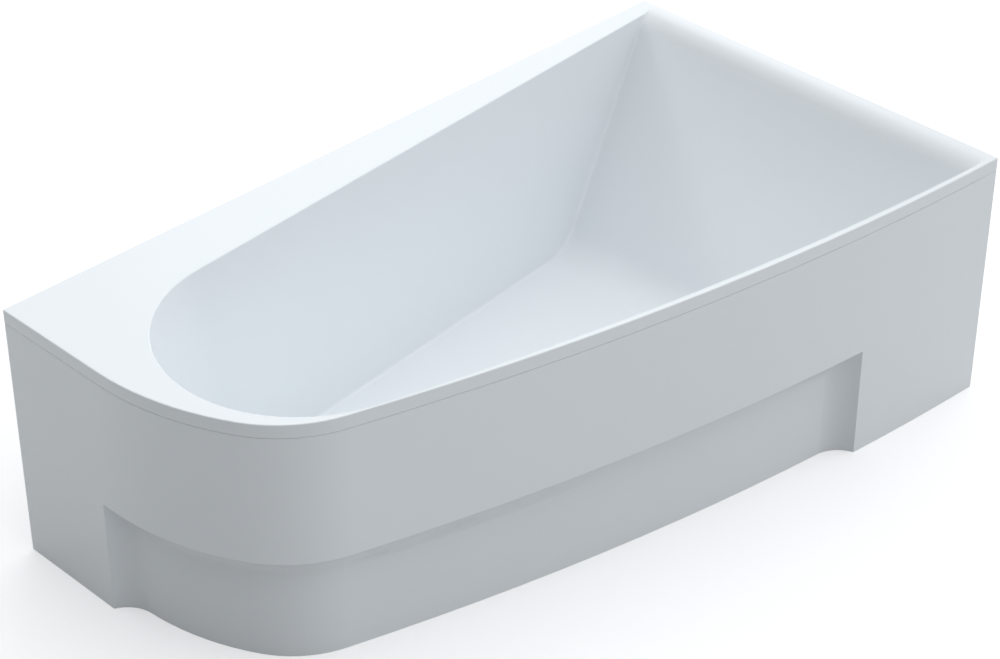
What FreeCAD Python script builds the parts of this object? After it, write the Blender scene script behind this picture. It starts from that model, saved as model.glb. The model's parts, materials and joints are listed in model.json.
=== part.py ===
import FreeCAD, Part
import Sketcher
import math
import os

from FreeCAD import Placement, Rotation, Vector

# Corner bathtub: an acrylic bowl with a narrow rounded end and a wide sloped
# backrest, on two steel cross rails with screw feet, closed at the front by one
# curved panel. Millimetres, +Z up, +Y towards the long wall, +X towards the
# short wall at the backrest end. The origin is the middle of the base.

doc = FreeCAD.newDocument("corner_bathtub")

SIZES = [
    # overall
    ("length", 1700), ("width", 940), ("height", 550),
    # plan line of the rim and panel, from the narrow end round to the front
    ("end_flat", 273), ("bend_radius", 565), ("bend_angle", 30.2),
    ("nose_radius", 258), ("front_radius", 5744), ("wall_reach", 40),
    # rim
    ("lip_drop", 28), ("lip_wall", 5), ("rim_edge_round", 2),
    ("rim_end", 11), ("rim_front", 11), ("rim_back", 38.6), ("back_splay", 4.46),
    # bowl
    ("tip_start", 76.5), ("tip_radius", 276), ("bowl_front_radius", 6400),
    ("back_draft", 7), ("front_draft", 8.6), ("bowl_low", 60),
    ("roll_radius", 68), ("backrest_lean", 36.8), ("seat_radius", 115),
    ("floor_height", 114), ("floor_fall", 1.1), ("crease_round", 7),
    ("acrylic", 4.5), ("laminate", 2.5), ("laminate_top", 480), ("panel_room", 4.7),
    # how far cutters and helper solids run past what they cut
    ("overshoot", 10), ("cut_past", 20),
    # waste well and overflow seat in the bowl
    ("drain_x", -580), ("drain_y", 47), ("well_radius", 40), ("well_floor", 99),
    ("well_collar", 12),
    ("waste_hole", 26), ("overflow_height", 462), ("overflow_seat", 38),
    ("overflow_hole", 27), ("overflow_tilt", 7.5),
    # front panel and its toe recess
    ("panel_wall", 3.5), ("panel_gap", 1), ("recess_top", 246), ("recess_depth", 40),
    ("cove_radius", 70), ("recess_left_turn", 3.87), ("recess_right_turn", 6.84),
    ("cove_bite", 0.2),
    # base board and rails, in the plane of the tub's floor
    ("board_thick", 16), ("board_left", -430), ("board_right", 400),
    ("board_left_front", -165), ("board_left_back", 245), ("board_corner", 25),
    ("board_right_front", -325), ("board_right_back", 315),
    ("rail_x", 330), ("rail_depth", 26), ("rail_web", 34), ("rail_flange", 18),
    ("steel", 2), ("left_rail_front", -180), ("left_rail_back", 240),
    ("right_rail_front", -305), ("right_rail_back", 305), ("foot_inset", 50),
    # screw feet
    ("rod_radius", 5), ("rod_hole", 5.5), ("nut_flats", 17), ("nut_height", 8),
    ("nut_gap", 0.1), ("head_radius", 7), ("head_flat", 3.5), ("socket_gap", 0.2), ("pad_radius", 30),
    ("pad_height", 14), ("pad_edge", 4), ("pad_crown", 12), ("head_height", 10),
    ("rod_top_gap", 1), ("key_radius", 7.5), ("key_height", 8), ("key_low", 12),
    # wood screws
    ("screw_radius", 2.4), ("screw_length", 13), ("screw_head", 4.6),
    ("screw_head_height", 2.6), ("pilot_gap", 0.1), ("screw_row_inset", 20),
    # wall brackets
    ("bracket_width", 60), ("bracket_sheet", 3), ("bracket_drop", 52), ("hook_gap", 0.3),
    ("hook_rise", 16), ("bracket_hole", 3), ("bracket_spacing", 36), ("hole_drop", 32),
    ("bracket_left_x", -520), ("bracket_right_x", 430),
    # rim batten
    ("batten_width", 15), ("batten_height", 20), ("batten_length", 1400),
    ("batten_inset", 12),
    # panel brackets with their magnets
    ("strip_width", 30), ("strip_thick", 3), ("strip_leg", 44), ("strip_tail", 12),
    ("bolt_radius", 3), ("bolt_gap", 0.3), ("bolt_inset", 16), ("bolt_head", 5),
    ("bolt_head_height", 4), ("bolt_length", 11), ("bolt_nut_flats", 10),
    ("bolt_nut_height", 5), ("magnet_radius", 13), ("magnet_height", 7),
    ("magnet_drop", 28), ("keeper_radius", 16), ("keeper_height", 1.5),
    ("magnet_gap", 0.3), ("keeper_gap", 0.1),
    # waste
    ("flange_radius", 35), ("flange_thick", 2.5), ("seal_thick", 1.5), ("seal_bore", 27),
    ("flange_edge", 1), ("bore_edge", 1.5), ("seal_inset", 1),
    ("waste_bore", 21), ("tail_radius", 24.5), ("tail_low", 80), ("fit_gap", 0.1),
    ("lower_seal", 4), ("collar_thick", 6), ("chamber_radius", 31), ("chamber_bore", 28),
    ("chamber_low", 58), ("chamber_floor", 2.5), ("spigot_radius", 20), ("spigot_bore", 17.5),
    ("spigot_low", 26), ("plug_radius", 32), ("plug_height", 4.6), ("plug_edge", 0.8),
    ("plug_shoulder", 26), ("plug_shoulder_height", 3.2), ("plug_flat", 15),
    ("stem_radius", 4), ("stem_low", 64), ("plug_gap", 0.8), ("running_gap", 0.05),
    ("plug_seal_in", 24), ("plug_seal_out", 28), ("plug_groove", 1.2), ("hub_radius", 7),
    ("hub_low", 84),
    ("hub_high", 91), ("web_thick", 2.5),
    # trap
    ("trap_radius", 42), ("trap_wall", 2.5), ("trap_low", 8), ("trap_top", 52),
    ("cup_radius", 28), ("cup_wall", 2), ("cup_low", 20), ("cup_high", 46),
    ("cup_foot", 8), ("neck_radius", 24), ("neck_top", 56), ("nut_wall", 6),
    ("outlet_height", 31), ("outlet_radius", 20), ("outlet_bore", 18), ("outlet_end", 440),
    ("outlet_free", 45), ("bead_width", 3), ("bead_height", 1.5),
    ("outlet_start", 48), ("socket_radius", 22.5), ("socket_start", 33), ("socket_end", 62),
    ("union_radius", 28), ("union_length", 15), ("union_lip", 3),
    # overflow
    ("plate_radius", 36), ("plate_ring", 21), ("plate_thick", 3), ("plate_hub_rise", 4),
    ("knob_radius", 29),
    ("knob_thick", 12), ("knob_edge", 3), ("knob_stand", 8), ("spindle_tail", 36),
    ("body_depth", 45), ("body_rim", 36), ("body_rim_thick", 3), ("body_radius", 33),
    ("body_wall", 3), ("body_seal", 3), ("body_seal_bore", 28), ("port_depth", 29),
    ("port_radius", 14.5), ("port_end", 58), ("overflow_screw", 2), ("overflow_screw_at", 24),
    ("overflow_screw_length", 25), ("overflow_screw_head", 4), ("boss_radius", 4.5),
    ("pipe_radius", 12), ("pipe_bore", 10), ("pipe_bend", 40), ("pipe_height", 73),
    ("pipe_entry", 12), ("port_reach", 52), ("pipe_nut_radius", 18),
    ("pipe_nut_length", 14), ("drum_radius", 14), ("drum_thick", 7), ("drum_depth", 22),
    ("cable_radius", 2.5), ("cable_bend", 60), ("cable_offset", 24), ("cable_entry", 3),
]

sheet = doc.addObject("Spreadsheet::Sheet", "Sizes")
for row, (alias, number) in enumerate(SIZES, start=1):
    sheet.set("A%d" % row, alias)
    sheet.set("B%d" % row, str(number))
    sheet.setAlias("B%d" % row, alias)
doc.recompute()


class Dim:
    """A length that knows its number and the sheet expression it comes from."""

    def __init__(self, value, text):
        self.value = float(value)
        self.text = text

    def __add__(self, other):
        other = dim(other)
        return Dim(self.value + other.value, "(%s + %s)" % (self.text, other.text))

    def __sub__(self, other):
        other = dim(other)
        return Dim(self.value - other.value, "(%s - %s)" % (self.text, other.text))

    def __rsub__(self, other):
        return dim(other) - self

    def __mul__(self, other):
        other = dim(other)
        return Dim(self.value * other.value, "(%s * %s)" % (self.text, other.text))

    def __truediv__(self, other):
        other = dim(other)
        return Dim(self.value / other.value, "(%s / %s)" % (self.text, other.text))

    def __neg__(self):
        return Dim(-self.value, "(0 - %s)" % self.text)

    __radd__ = __add__
    __rmul__ = __mul__


def dim(number):
    """Turns a plain number into a Dim and leaves a Dim as it is."""
    if isinstance(number, Dim):
        return number
    return Dim(number, "%g" % number)


def tangent(angle):
    """The tangent of an angle Dim in degrees."""
    return Dim(math.tan(math.radians(angle.value)), "tan(%s * 1 deg)" % angle.text)


def cosine(angle):
    """The cosine of an angle Dim in degrees."""
    return Dim(math.cos(math.radians(angle.value)), "cos(%s * 1 deg)" % angle.text)


def root(number):
    """The square root of a Dim."""
    return Dim(math.sqrt(number.value), "sqrt(%s)" % number.text)


def sine(angle):
    """The sine of an angle Dim in degrees."""
    return Dim(math.sin(math.radians(angle.value)), "sin(%s * 1 deg)" % angle.text)


class Sizes:
    """Gives each cell of the sheet as a Dim."""

    def __getattr__(self, alias):
        return Dim(sheet.get(alias), "Sizes.%s" % alias)


size = Sizes()
UP = Vector(0, 0, 1)
# how far a small cutter reaches past a face
PAST = 1
HALF_LENGTH = size.length / 2
HALF_WIDTH = size.width / 2
SKIN = size.acrylic + size.laminate
pieces = []


# ---- small makers -----------------------------------------------------------

def bind(obj, name, value):
    """Sets a property and ties it to the sheet."""
    value = dim(value)
    setattr(obj, name, value.value)
    obj.setExpression(name, value.text)


def place(obj, x=0, y=0, z=0):
    """Moves an object to a place whose coordinates are tied to the sheet."""
    for axis, value in zip("xyz", (x, y, z)):
        if dim(value).value:
            obj.setExpression("Placement.Base.%s" % axis, dim(value).text)


def finish(obj, node, placement=None):
    """Names a finished sub-part and sets where it lies."""
    obj.Label = node
    if placement is not None:
        obj.Placement = placement
    pieces.append(obj)
    return obj


def cylinder(name, radius, height, x=0, y=0, z=0):
    solid = doc.addObject("Part::Cylinder", name)
    bind(solid, "Radius", radius)
    bind(solid, "Height", height)
    place(solid, x, y, z)
    return solid


def box(name, long, wide, high, x=0, y=0, z=0):
    solid = doc.addObject("Part::Box", name)
    bind(solid, "Length", long)
    bind(solid, "Width", wide)
    bind(solid, "Height", high)
    place(solid, x, y, z)
    return solid


def cut(name, base, tool):
    result = doc.addObject("Part::Cut", name)
    result.Base = base
    result.Tool = tool
    return result


def fuse(name, *shapes):
    result = doc.addObject("Part::MultiFuse", name)
    result.Shapes = list(shapes)
    result.Refine = True
    return result


def common(name, *shapes):
    result = doc.addObject("Part::MultiCommon", name)
    result.Shapes = list(shapes)
    return result


def group(node, *shapes):
    """Several like solids as one sub-part."""
    result = doc.addObject("Part::Compound", node + "_set")
    result.Links = list(shapes)
    return finish(result, node)


def extrusion(name, sketch, along, length):
    result = doc.addObject("Part::Extrusion", name)
    result.Base = sketch
    result.DirMode = "Custom"
    result.Dir = along
    result.Solid = True
    bind(result, "LengthFwd", length)
    return result


def limit(sketch, words, value):
    """Adds one dimension to a sketch and ties it to the sheet."""
    value = dim(value)
    number = value.value
    text = value.text
    if words[0] == "Angle":
        number = math.radians(number)
        text = "%s * 1 deg" % text
    index = sketch.addConstraint(Sketcher.Constraint(*words, number))
    sketch.setExpression("Constraints[%d]" % index, text)


def shift_to(sketch, geometry, point, x, y):
    """Fixes one point of a sketch at sheet-driven coordinates."""
    for kind, value, axis in (("DistanceX", x, -2), ("DistanceY", y, -1)):
        if dim(value).text == "0":
            sketch.addConstraint(Sketcher.Constraint("PointOnObject", geometry, point, axis))
        else:
            limit(sketch, (kind, -1, 1, geometry, point), value)


def polygon(sketch, points):
    """Draws a closed outline through sheet-driven points."""
    corners = [Vector(dim(x).value, dim(y).value, 0) for x, y in points]
    count = len(corners)
    for index in range(count):
        start = corners[index]
        end = corners[(index + 1) % count]
        sketch.addGeometry(Part.LineSegment(start, end), False)
    for index in range(count):
        following = (index + 1) % count
        sketch.addConstraint(Sketcher.Constraint("Coincident", index, 2, following, 1))
    for index, (x, y) in enumerate(points):
        shift_to(sketch, index, 1, x, y)


def circle(sketch, radius, x=0, y=0):
    """Draws a sheet-driven circle."""
    radius = dim(radius)
    centre = Vector(dim(x).value, dim(y).value, 0)
    index = sketch.addGeometry(Part.Circle(centre, UP, radius.value), False)
    shift_to(sketch, index, 3, x, y)
    limit(sketch, ("Radius", index), radius)


def new_body(name):
    return doc.addObject("PartDesign::Body", name)


def body_sketch(body, name, plane):
    """A sketch on one of the body's own origin planes."""
    sketch = body.newObject("Sketcher::SketchObject", name)
    planes = [item for item in body.Origin.OriginFeatures if item.Role == plane]
    sketch.AttachmentSupport = (planes[0], [""])
    sketch.MapMode = "FlatFace"
    return sketch


def pad(body, sketch, length, symmetric=False):
    feature = body.newObject("PartDesign::Pad", sketch.Name + "_pad")
    feature.Profile = sketch
    bind(feature, "Length", length)
    feature.Midplane = symmetric
    sketch.Visibility = False
    return feature


def pocket(body, sketch):
    """Cuts a sketch right through the body, both ways from its plane."""
    before = body.Tip
    feature = body.newObject("PartDesign::Pocket", sketch.Name + "_pocket")
    feature.Profile = sketch
    feature.Type = "ThroughAll"
    feature.Midplane = True
    doc.recompute()
    if feature.Shape.Volume >= before.Shape.Volume:
        raise RuntimeError("%s cuts nothing" % feature.Name)
    return feature


def revolve(body, sketch):
    feature = body.newObject("PartDesign::Revolution", sketch.Name + "_turn")
    feature.Profile = sketch
    feature.ReferenceAxis = (sketch, ["V_Axis"])
    feature.Angle = 360
    return feature


def turned(node, points, placement=None):
    """A sub-part turned about its own Z axis from a half section."""
    body = new_body(node + "_body")
    sketch = body_sketch(body, node + "_section", "XZ_Plane")
    polygon(sketch, points)
    revolve(body, sketch)
    doc.recompute()
    return finish(body, node, placement)


def ring(node, inner, outer, low, high, placement=None):
    """A plain ring about its own Z axis."""
    points = [(inner, low), (outer, low), (outer, high), (inner, high)]
    return turned(node, points, placement)


def loose(solid):
    """Takes a helper back out of the list of finished sub-parts."""
    pieces.remove(solid)
    return solid


def edges_where(shape, test):
    """Numbers, from 1, of the edges whose sample points all pass a test."""
    found = []
    for number, edge in enumerate(shape.Edges, start=1):
        first, last = edge.ParameterRange
        samples = [edge.valueAt(first + (last - first) * part) for part in (0.1, 0.5, 0.9)]
        if all(test(point) for point in samples):
            found.append(number)
    return found


def rounded(name, base, radius, test):
    """Rounds the edges of a solid that pass a test."""
    doc.recompute()
    numbers = edges_where(base.Shape, test)
    result = doc.addObject("Part::Fillet", name)
    result.Base = base
    result.Edges = [(number, radius.value, radius.value) for number in numbers]
    return result


# ---- plan line: the curve that the rim and the panel share --------------------

def outer_centre(inner_centre, inner_radius, point, radius):
    """Centre of the arc that touches a smaller arc from outside and ends at a point."""
    near = radius - inner_radius
    gap = point - inner_centre
    along = (near ** 2 - radius ** 2 + gap.Length ** 2) / (2 * gap.Length)
    across = math.sqrt(near ** 2 - along ** 2)
    unit = gap / gap.Length
    side = Vector(-unit.y, unit.x, 0)
    return inner_centre + unit * along + side * across


def angle_of(vector):
    return math.degrees(math.atan2(vector.y, vector.x)) % 360


def arc(centre, radius, start, end):
    round_line = Part.Circle(centre, UP, radius)
    return Part.ArcOfCircle(round_line, math.radians(start), math.radians(end))


BEND_CENTRE = Vector((size.bend_radius - HALF_LENGTH).value,
                     (HALF_WIDTH - size.end_flat).value, 0)
BEND_END = 180 + size.bend_angle.value
NOSE_CENTRE = BEND_CENTRE + Vector(
    math.cos(math.radians(BEND_END)), math.sin(math.radians(BEND_END)), 0
) * (size.bend_radius - size.nose_radius).value
FRONT_CORNER = Vector(HALF_LENGTH.value, -HALF_WIDTH.value, 0)
FRONT_CENTRE = outer_centre(NOSE_CENTRE, size.nose_radius.value, FRONT_CORNER,
                            size.front_radius.value)
FRONT_START = angle_of(NOSE_CENTRE - FRONT_CENTRE)


def plan_line(name, inset=0):
    """The tub's plan, closed outside the two walls and moved inwards by an inset."""
    inset = dim(inset)
    sketch = doc.addObject("Sketcher::SketchObject", name)
    left = (inset - HALF_LENGTH).value
    right = (HALF_LENGTH + size.wall_reach).value
    back = (HALF_WIDTH + size.wall_reach).value
    bend_start = Vector(left, BEND_CENTRE.y, 0)
    front_radius = (size.front_radius - inset).value
    drop = math.sqrt(front_radius ** 2 - (right - FRONT_CENTRE.x) ** 2)
    front_end = Vector(right, FRONT_CENTRE.y - drop, 0)
    lines = [
        Part.LineSegment(Vector(left, back, 0), bend_start),
        arc(BEND_CENTRE, (size.bend_radius - inset).value, 180, BEND_END),
        arc(NOSE_CENTRE, (size.nose_radius - inset).value, BEND_END, FRONT_START),
        arc(FRONT_CENTRE, front_radius, FRONT_START, angle_of(front_end - FRONT_CENTRE)),
        Part.LineSegment(front_end, Vector(right, back, 0)),
        Part.LineSegment(Vector(right, back, 0), Vector(left, back, 0)),
    ]
    for line in lines:
        sketch.addGeometry(line, False)
    for first, second in ((0, 1), (1, 2), (2, 3)):
        sketch.addConstraint(Sketcher.Constraint("Tangent", first, 2, second, 1))
    for first, second in ((3, 4), (4, 5), (5, 0)):
        sketch.addConstraint(Sketcher.Constraint("Coincident", first, 2, second, 1))
    sketch.addConstraint(Sketcher.Constraint("Vertical", 4))
    sketch.addConstraint(Sketcher.Constraint("Horizontal", 5))
    shift_to(sketch, 0, 1, inset - HALF_LENGTH, HALF_WIDTH + size.wall_reach)
    shift_to(sketch, 0, 2, inset - HALF_LENGTH, HALF_WIDTH - size.end_flat)
    for number, radius in ((1, size.bend_radius), (2, size.nose_radius)):
        limit(sketch, ("Radius", number), radius - inset)
    limit(sketch, ("Angle", 1), size.bend_angle)
    limit(sketch, ("DistanceX", -1, 1, 4, 1), HALF_LENGTH + size.wall_reach)
    # the front arc shares its centre with the outer one, which ends at the front corner
    front = Part.Circle(FRONT_CENTRE, UP, size.front_radius.value)
    outer_front = sketch.addGeometry(front, True)
    corner = sketch.addGeometry(Part.Point(FRONT_CORNER), True)
    shift_to(sketch, corner, 1, HALF_LENGTH, -HALF_WIDTH)
    sketch.addConstraint(Sketcher.Constraint("PointOnObject", corner, 1, outer_front))
    sketch.addConstraint(Sketcher.Constraint("Coincident", outer_front, 3, 3, 3))
    limit(sketch, ("Radius", outer_front), size.front_radius)
    limit(sketch, ("Radius", 3), size.front_radius - inset)
    return sketch


def plan_slab(name, line, low, high, inset=0):
    """The space inside a plan line between two heights, trimmed at the walls."""
    column = extrusion(name + "_column", line, UP, high - low)
    place(column, 0, 0, low)
    inset = dim(inset)
    room = box(name + "_room", size.length - inset * 2, size.width - inset * 2, high - low,
               inset - HALF_LENGTH, inset - HALF_WIDTH, low)
    return common(name, column, room)


# ---- bowl: drafted walls cut by a long section --------------------------------

def bowl_line(name, grow, depth):
    """The bowl's plan at a depth under the rim, grown outwards by a skin."""
    back_shift = grow - depth * tangent(size.back_draft)
    front_shift = grow - depth * tangent(size.front_draft)
    tip_shift = (back_shift + front_shift) / 2
    sketch = doc.addObject("Sketcher::SketchObject", name)
    place(sketch, 0, 0, size.height - depth)
    splay = math.radians(size.back_splay.value)
    end_x = HALF_LENGTH - size.rim_end + grow
    back_end = (HALF_WIDTH - size.rim_back + back_shift / cosine(size.back_splay)
                + grow * tangent(size.back_splay))
    front_end = size.rim_front - HALF_WIDTH - front_shift
    radius = size.tip_radius + tip_shift
    front_radius = size.bowl_front_radius + front_shift
    centre_x = size.tip_start + size.tip_radius - HALF_LENGTH
    centre_y = (back_end - (end_x - centre_x) * tangent(size.back_splay)
                - radius / cosine(size.back_splay))
    centre = Vector(centre_x.value, centre_y.value, 0)
    corner = Vector(end_x.value, front_end.value, 0)
    sweep_centre = outer_centre(centre, radius.value, corner, front_radius.value)
    tip_start = 90 + size.back_splay.value
    tip_end = angle_of(centre - sweep_centre)
    top = Vector(end_x.value, back_end.value, 0)
    normal = Vector(-math.sin(splay), math.cos(splay), 0)
    sketch.addGeometry([
        Part.LineSegment(top, centre + normal * radius.value),
        arc(centre, radius.value, tip_start, tip_end),
        arc(sweep_centre, front_radius.value, tip_end, angle_of(corner - sweep_centre)),
        Part.LineSegment(corner, top),
    ], False)
    for first, second in ((0, 1), (1, 2)):
        sketch.addConstraint(Sketcher.Constraint("Tangent", first, 2, second, 1))
    for first, second in ((2, 3), (3, 0)):
        sketch.addConstraint(Sketcher.Constraint("Coincident", first, 2, second, 1))
    shift_to(sketch, 0, 1, end_x, back_end)
    shift_to(sketch, 3, 1, end_x, front_end)
    shift_to(sketch, 1, 3, centre_x, centre_y)
    for number, value in ((1, radius), (2, front_radius)):
        limit(sketch, ("Radius", number), value)
    return sketch


def long_section(name, grow):
    """The bowl's section along X: top roll, backrest, seat curve and floor."""
    sketch = doc.addObject("Sketcher::SketchObject", name)
    sketch.Placement = Placement(Vector(0, 0, 0), Rotation(Vector(1, 0, 0), 90))
    lean = math.radians(size.backrest_lean.value)
    fall = math.radians(size.floor_fall.value)
    roll = size.roll_radius - grow
    seat = size.seat_radius + grow
    roll_x = HALF_LENGTH - size.rim_end
    roll_z = size.height - size.roll_radius
    top = size.height + size.overshoot
    roll_centre = Vector(roll_x.value, roll_z.value, 0)
    face = Vector(-math.cos(lean), math.sin(lean), 0)
    down = Vector(-math.sin(lean), -math.cos(lean), 0)
    roll_end = roll_centre + face * roll.value
    floor_middle = size.floor_height - grow / cosine(size.floor_fall)
    floor_point = Vector(0, floor_middle.value, 0)
    along_floor = Vector(-math.cos(fall), -math.sin(fall), 0)
    # where the backrest line and the floor line meet
    gap = floor_point - roll_end
    reach = (gap.x * along_floor.y - gap.y * along_floor.x) / (
        down.x * along_floor.y - down.y * along_floor.x)
    meet = roll_end + down * reach
    turn = math.acos(down.dot(along_floor))
    trim = seat.value * math.tan(turn / 2)
    seat_top = meet - down * trim
    seat_low = meet + along_floor * trim
    floor_up = Vector(-along_floor.y, along_floor.x, 0) * -1
    seat_centre = seat_low + floor_up * seat.value
    left = -HALF_LENGTH.value
    left_floor = floor_point + along_floor * (-left / math.cos(fall))
    roll_top = Vector(roll_x.value, (roll_z + roll).value, 0)
    lines = [
        Part.LineSegment(Vector(roll_x.value, top.value, 0), Vector(left, top.value, 0)),
        Part.LineSegment(Vector(left, top.value, 0), left_floor),
        Part.LineSegment(left_floor, seat_low),
        arc(seat_centre, seat.value, angle_of(seat_low - seat_centre),
            angle_of(seat_top - seat_centre)),
        Part.LineSegment(seat_top, roll_end),
        arc(roll_centre, roll.value, 90, angle_of(face)),
        Part.LineSegment(roll_top, Vector(roll_x.value, top.value, 0)),
    ]
    for line in lines:
        sketch.addGeometry(line, False)
    joints = [("Coincident", 0, 2, 1, 1), ("Coincident", 1, 2, 2, 1),
              ("Tangent", 2, 2, 3, 1), ("Tangent", 3, 2, 4, 1), ("Tangent", 4, 2, 5, 2),
              ("Coincident", 5, 1, 6, 1), ("Coincident", 6, 2, 0, 1)]
    for joint in joints:
        sketch.addConstraint(Sketcher.Constraint(*joint))
    floor_mark = sketch.addGeometry(Part.Point(floor_point), True)
    sketch.addConstraint(Sketcher.Constraint("PointOnObject", floor_mark, 1, 2))
    shift_to(sketch, floor_mark, 1, 0, floor_middle)
    sketch.addConstraint(Sketcher.Constraint("Vertical", 1))
    shift_to(sketch, 0, 1, roll_x, top)
    shift_to(sketch, 1, 1, -HALF_LENGTH, top)
    shift_to(sketch, 5, 3, roll_x, roll_z)
    limit(sketch, ("DistanceX", -1, 1, 5, 1), roll_x)
    limit(sketch, ("Angle", 2), size.floor_fall)
    limit(sketch, ("Angle", 4), 90 - size.backrest_lean)
    for number, value in ((3, seat), (5, roll)):
        limit(sketch, ("Radius", number), value)
    return sketch


def bowl_solid(name, grow):
    """The bowl's inside, or the same grown by a skin thickness."""
    grow = dim(grow)
    upper = bowl_line(name + "_upper", grow, -size.overshoot)
    lower = bowl_line(name + "_lower", grow, size.height - size.bowl_low)
    walls = doc.addObject("Part::Loft", name + "_walls")
    walls.Sections = [lower, upper]
    walls.Solid = True
    walls.Ruled = True
    section = long_section(name + "_section", grow)
    length = extrusion(name + "_length", section, Vector(0, 1, 0), size.width)
    place(length, 0, -HALF_WIDTH, 0)
    return common(name, walls, length)


# ---- shell ------------------------------------------------------------------

def crease_edges(shape):
    """Edges where a drafted wall meets the long section's faces."""
    found = []
    for number, edge in enumerate(shape.Edges, start=1):
        middle = edge.valueAt(sum(edge.ParameterRange) / 2)
        if middle.z > size.height.value - 1:
            continue
        crosswise = []
        for face in shape.ancestorsOfType(edge, Part.Face):
            u_low, u_high, v_low, v_high = face.ParameterRange
            tilts = []
            for part in (0.2, 0.7):
                normal = face.normalAt(u_low + (u_high - u_low) * part,
                                       v_low + (v_high - v_low) * part)
                tilts.append(abs(normal.y))
            crosswise.append(max(tilts) < 1e-4)
        if crosswise.count(True) == 1 and crosswise.count(False) == 1:
            found.append(number)
    return found


def creased_bowl(name):
    """The bowl's inside with its creases rounded."""
    sharp = bowl_solid(name, 0)
    doc.recompute()
    radius = size.crease_round.value
    result = doc.addObject("Part::Fillet", name + "_round")
    result.Base = sharp
    result.Edges = [(number, radius, radius) for number in crease_edges(sharp.Shape)]
    return result


plan = plan_line("plan_line")
basin = creased_bowl("basin")
bowl = bowl_solid("bowl", size.acrylic)
backing = bowl_solid("backing", SKIN)

# the waste stands on a vertical axis, the overflow square to the narrow end's wall
OVERFLOW_DEPTH = size.height - size.overflow_height
OVERFLOW_X = (size.tip_start - HALF_LENGTH
              + OVERFLOW_DEPTH * (tangent(size.back_draft) + tangent(size.front_draft)) / 2)
OVERFLOW = Placement(Vector(OVERFLOW_X.value, size.drain_y.value, size.overflow_height.value),
                     Rotation(Vector(0, 1, 0), 90 - size.overflow_tilt.value))


def on_overflow(obj, height=0):
    """Stands an object on the overflow's axis, which points into the bowl."""
    obj.Placement = OVERFLOW.multiply(Placement(Vector(0, 0, dim(height).value), Rotation()))
    return obj


LIP_LOW = size.height - size.lip_drop
EDGE_STRIPS = 3  # flat strips that make up a rounded rim edge
PANEL_LINE = plan_line("panel_room_line", size.panel_room)


def edge_step(step):
    """How far a rounded edge has come in and risen at one of its ruled strips."""
    turn = dim(90 * step / EDGE_STRIPS)
    radius = size.rim_edge_round
    return radius - radius * cosine(turn), radius * sine(turn)


def rim_slab():
    """The rim's outside from the lip's foot up, its edge rounded in narrow strips."""
    foot = plan_line("rim_foot")
    place(foot, 0, 0, LIP_LOW)
    lines = [foot]
    for step in range(EDGE_STRIPS + 1):
        inset, rise = edge_step(step)
        line = plan_line("rim_line_%d" % step, inset)
        place(line, 0, 0, size.height - size.rim_edge_round + rise)
        lines.append(line)
    column = doc.addObject("Part::Loft", "rim_column")
    column.Sections = lines
    column.Solid = True
    column.Ruled = True
    room = box("rim_room", size.length, size.width, size.height - LIP_LOW,
               -HALF_LENGTH, -HALF_WIDTH, LIP_LOW)
    return common("rim", column, room)


def opening_round():
    """The space that rounds the bowl's edge, in narrow strips, above the long section."""
    lines = []
    for step in range(EDGE_STRIPS + 1):
        grow, rise = edge_step(step)
        lines.append(bowl_line("opening_line_%d" % step, grow, size.rim_edge_round - rise))
    flare = doc.addObject("Part::Loft", "opening_flare")
    flare.Sections = lines
    flare.Solid = True
    flare.Ruled = True
    section = long_section("opening_section", dim(0))
    length = extrusion("opening_length", section, Vector(0, 1, 0), size.width)
    place(length, 0, -HALF_WIDTH, 0)
    return common("opening_round", flare, length)


def acrylic_shell():
    """The formed sheet: rim, turned-down lip and bowl."""
    rim = rim_slab()
    lip_line = plan_line("lip_line", size.lip_wall)
    hollow = plan_slab("rim_hollow", lip_line, LIP_LOW - PAST, size.height - size.lip_wall,
                       size.lip_wall)
    lip = cut("rim_lip", rim, cut("rim_space", hollow, bowl))
    below = plan_slab("bowl_room", PANEL_LINE, 0, LIP_LOW)
    low_bowl = common("low_bowl", bowl, below)
    high_bowl = common("high_bowl", bowl, rim)
    well = cylinder("well_boss", size.well_radius + size.acrylic, size.well_collar,
                    size.drain_x, size.drain_y, size.well_floor - size.acrylic)
    solid = fuse("shell_solid", lip, low_bowl, high_bowl, well)
    well_cut = cylinder("well_cut", size.well_radius, size.cut_past,
                        size.drain_x, size.drain_y, size.well_floor)
    waste_cut = cylinder("waste_cut", size.waste_hole, size.cut_past * 2,
                         size.drain_x, size.drain_y, size.well_floor - size.cut_past)
    seat_cut = on_overflow(cylinder("overflow_seat_cut", size.overflow_seat, size.cut_past))
    hole_cut = on_overflow(cylinder("overflow_hole_cut", size.overflow_hole,
                                    size.cut_past * 2), -size.cut_past)
    return cut("open_shell", solid, fuse("shell_cuts", basin, opening_round(), well_cut,
                                         waste_cut, seat_cut, hole_cut))


def laminate_backing():
    """The glass-fibre layer on the outside of the bowl."""
    room = plan_slab("laminate_room", PANEL_LINE, 0, size.laminate_top)
    layer = common("laminate_solid", backing, room)
    boss = cylinder("laminate_boss", size.well_radius + SKIN, size.well_collar,
                    size.drain_x, size.drain_y, size.well_floor - SKIN)
    inner_boss = cylinder("laminate_boss_cut", size.well_radius + size.acrylic, size.cut_past,
                          size.drain_x, size.drain_y, size.well_floor - size.acrylic)
    waste_cut = cylinder("laminate_waste_cut", size.waste_hole, size.cut_past * 2,
                         size.drain_x, size.drain_y, size.well_floor - size.cut_past)
    hole_cut = on_overflow(cylinder("laminate_overflow_cut", size.overflow_hole,
                                    size.cut_past * 2), -size.cut_past)
    return cut("laminate_open", fuse("laminate_whole", layer, boss),
               fuse("laminate_cuts", bowl, inner_boss, waste_cut, hole_cut))


# ---- front panel --------------------------------------------------------------

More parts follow.
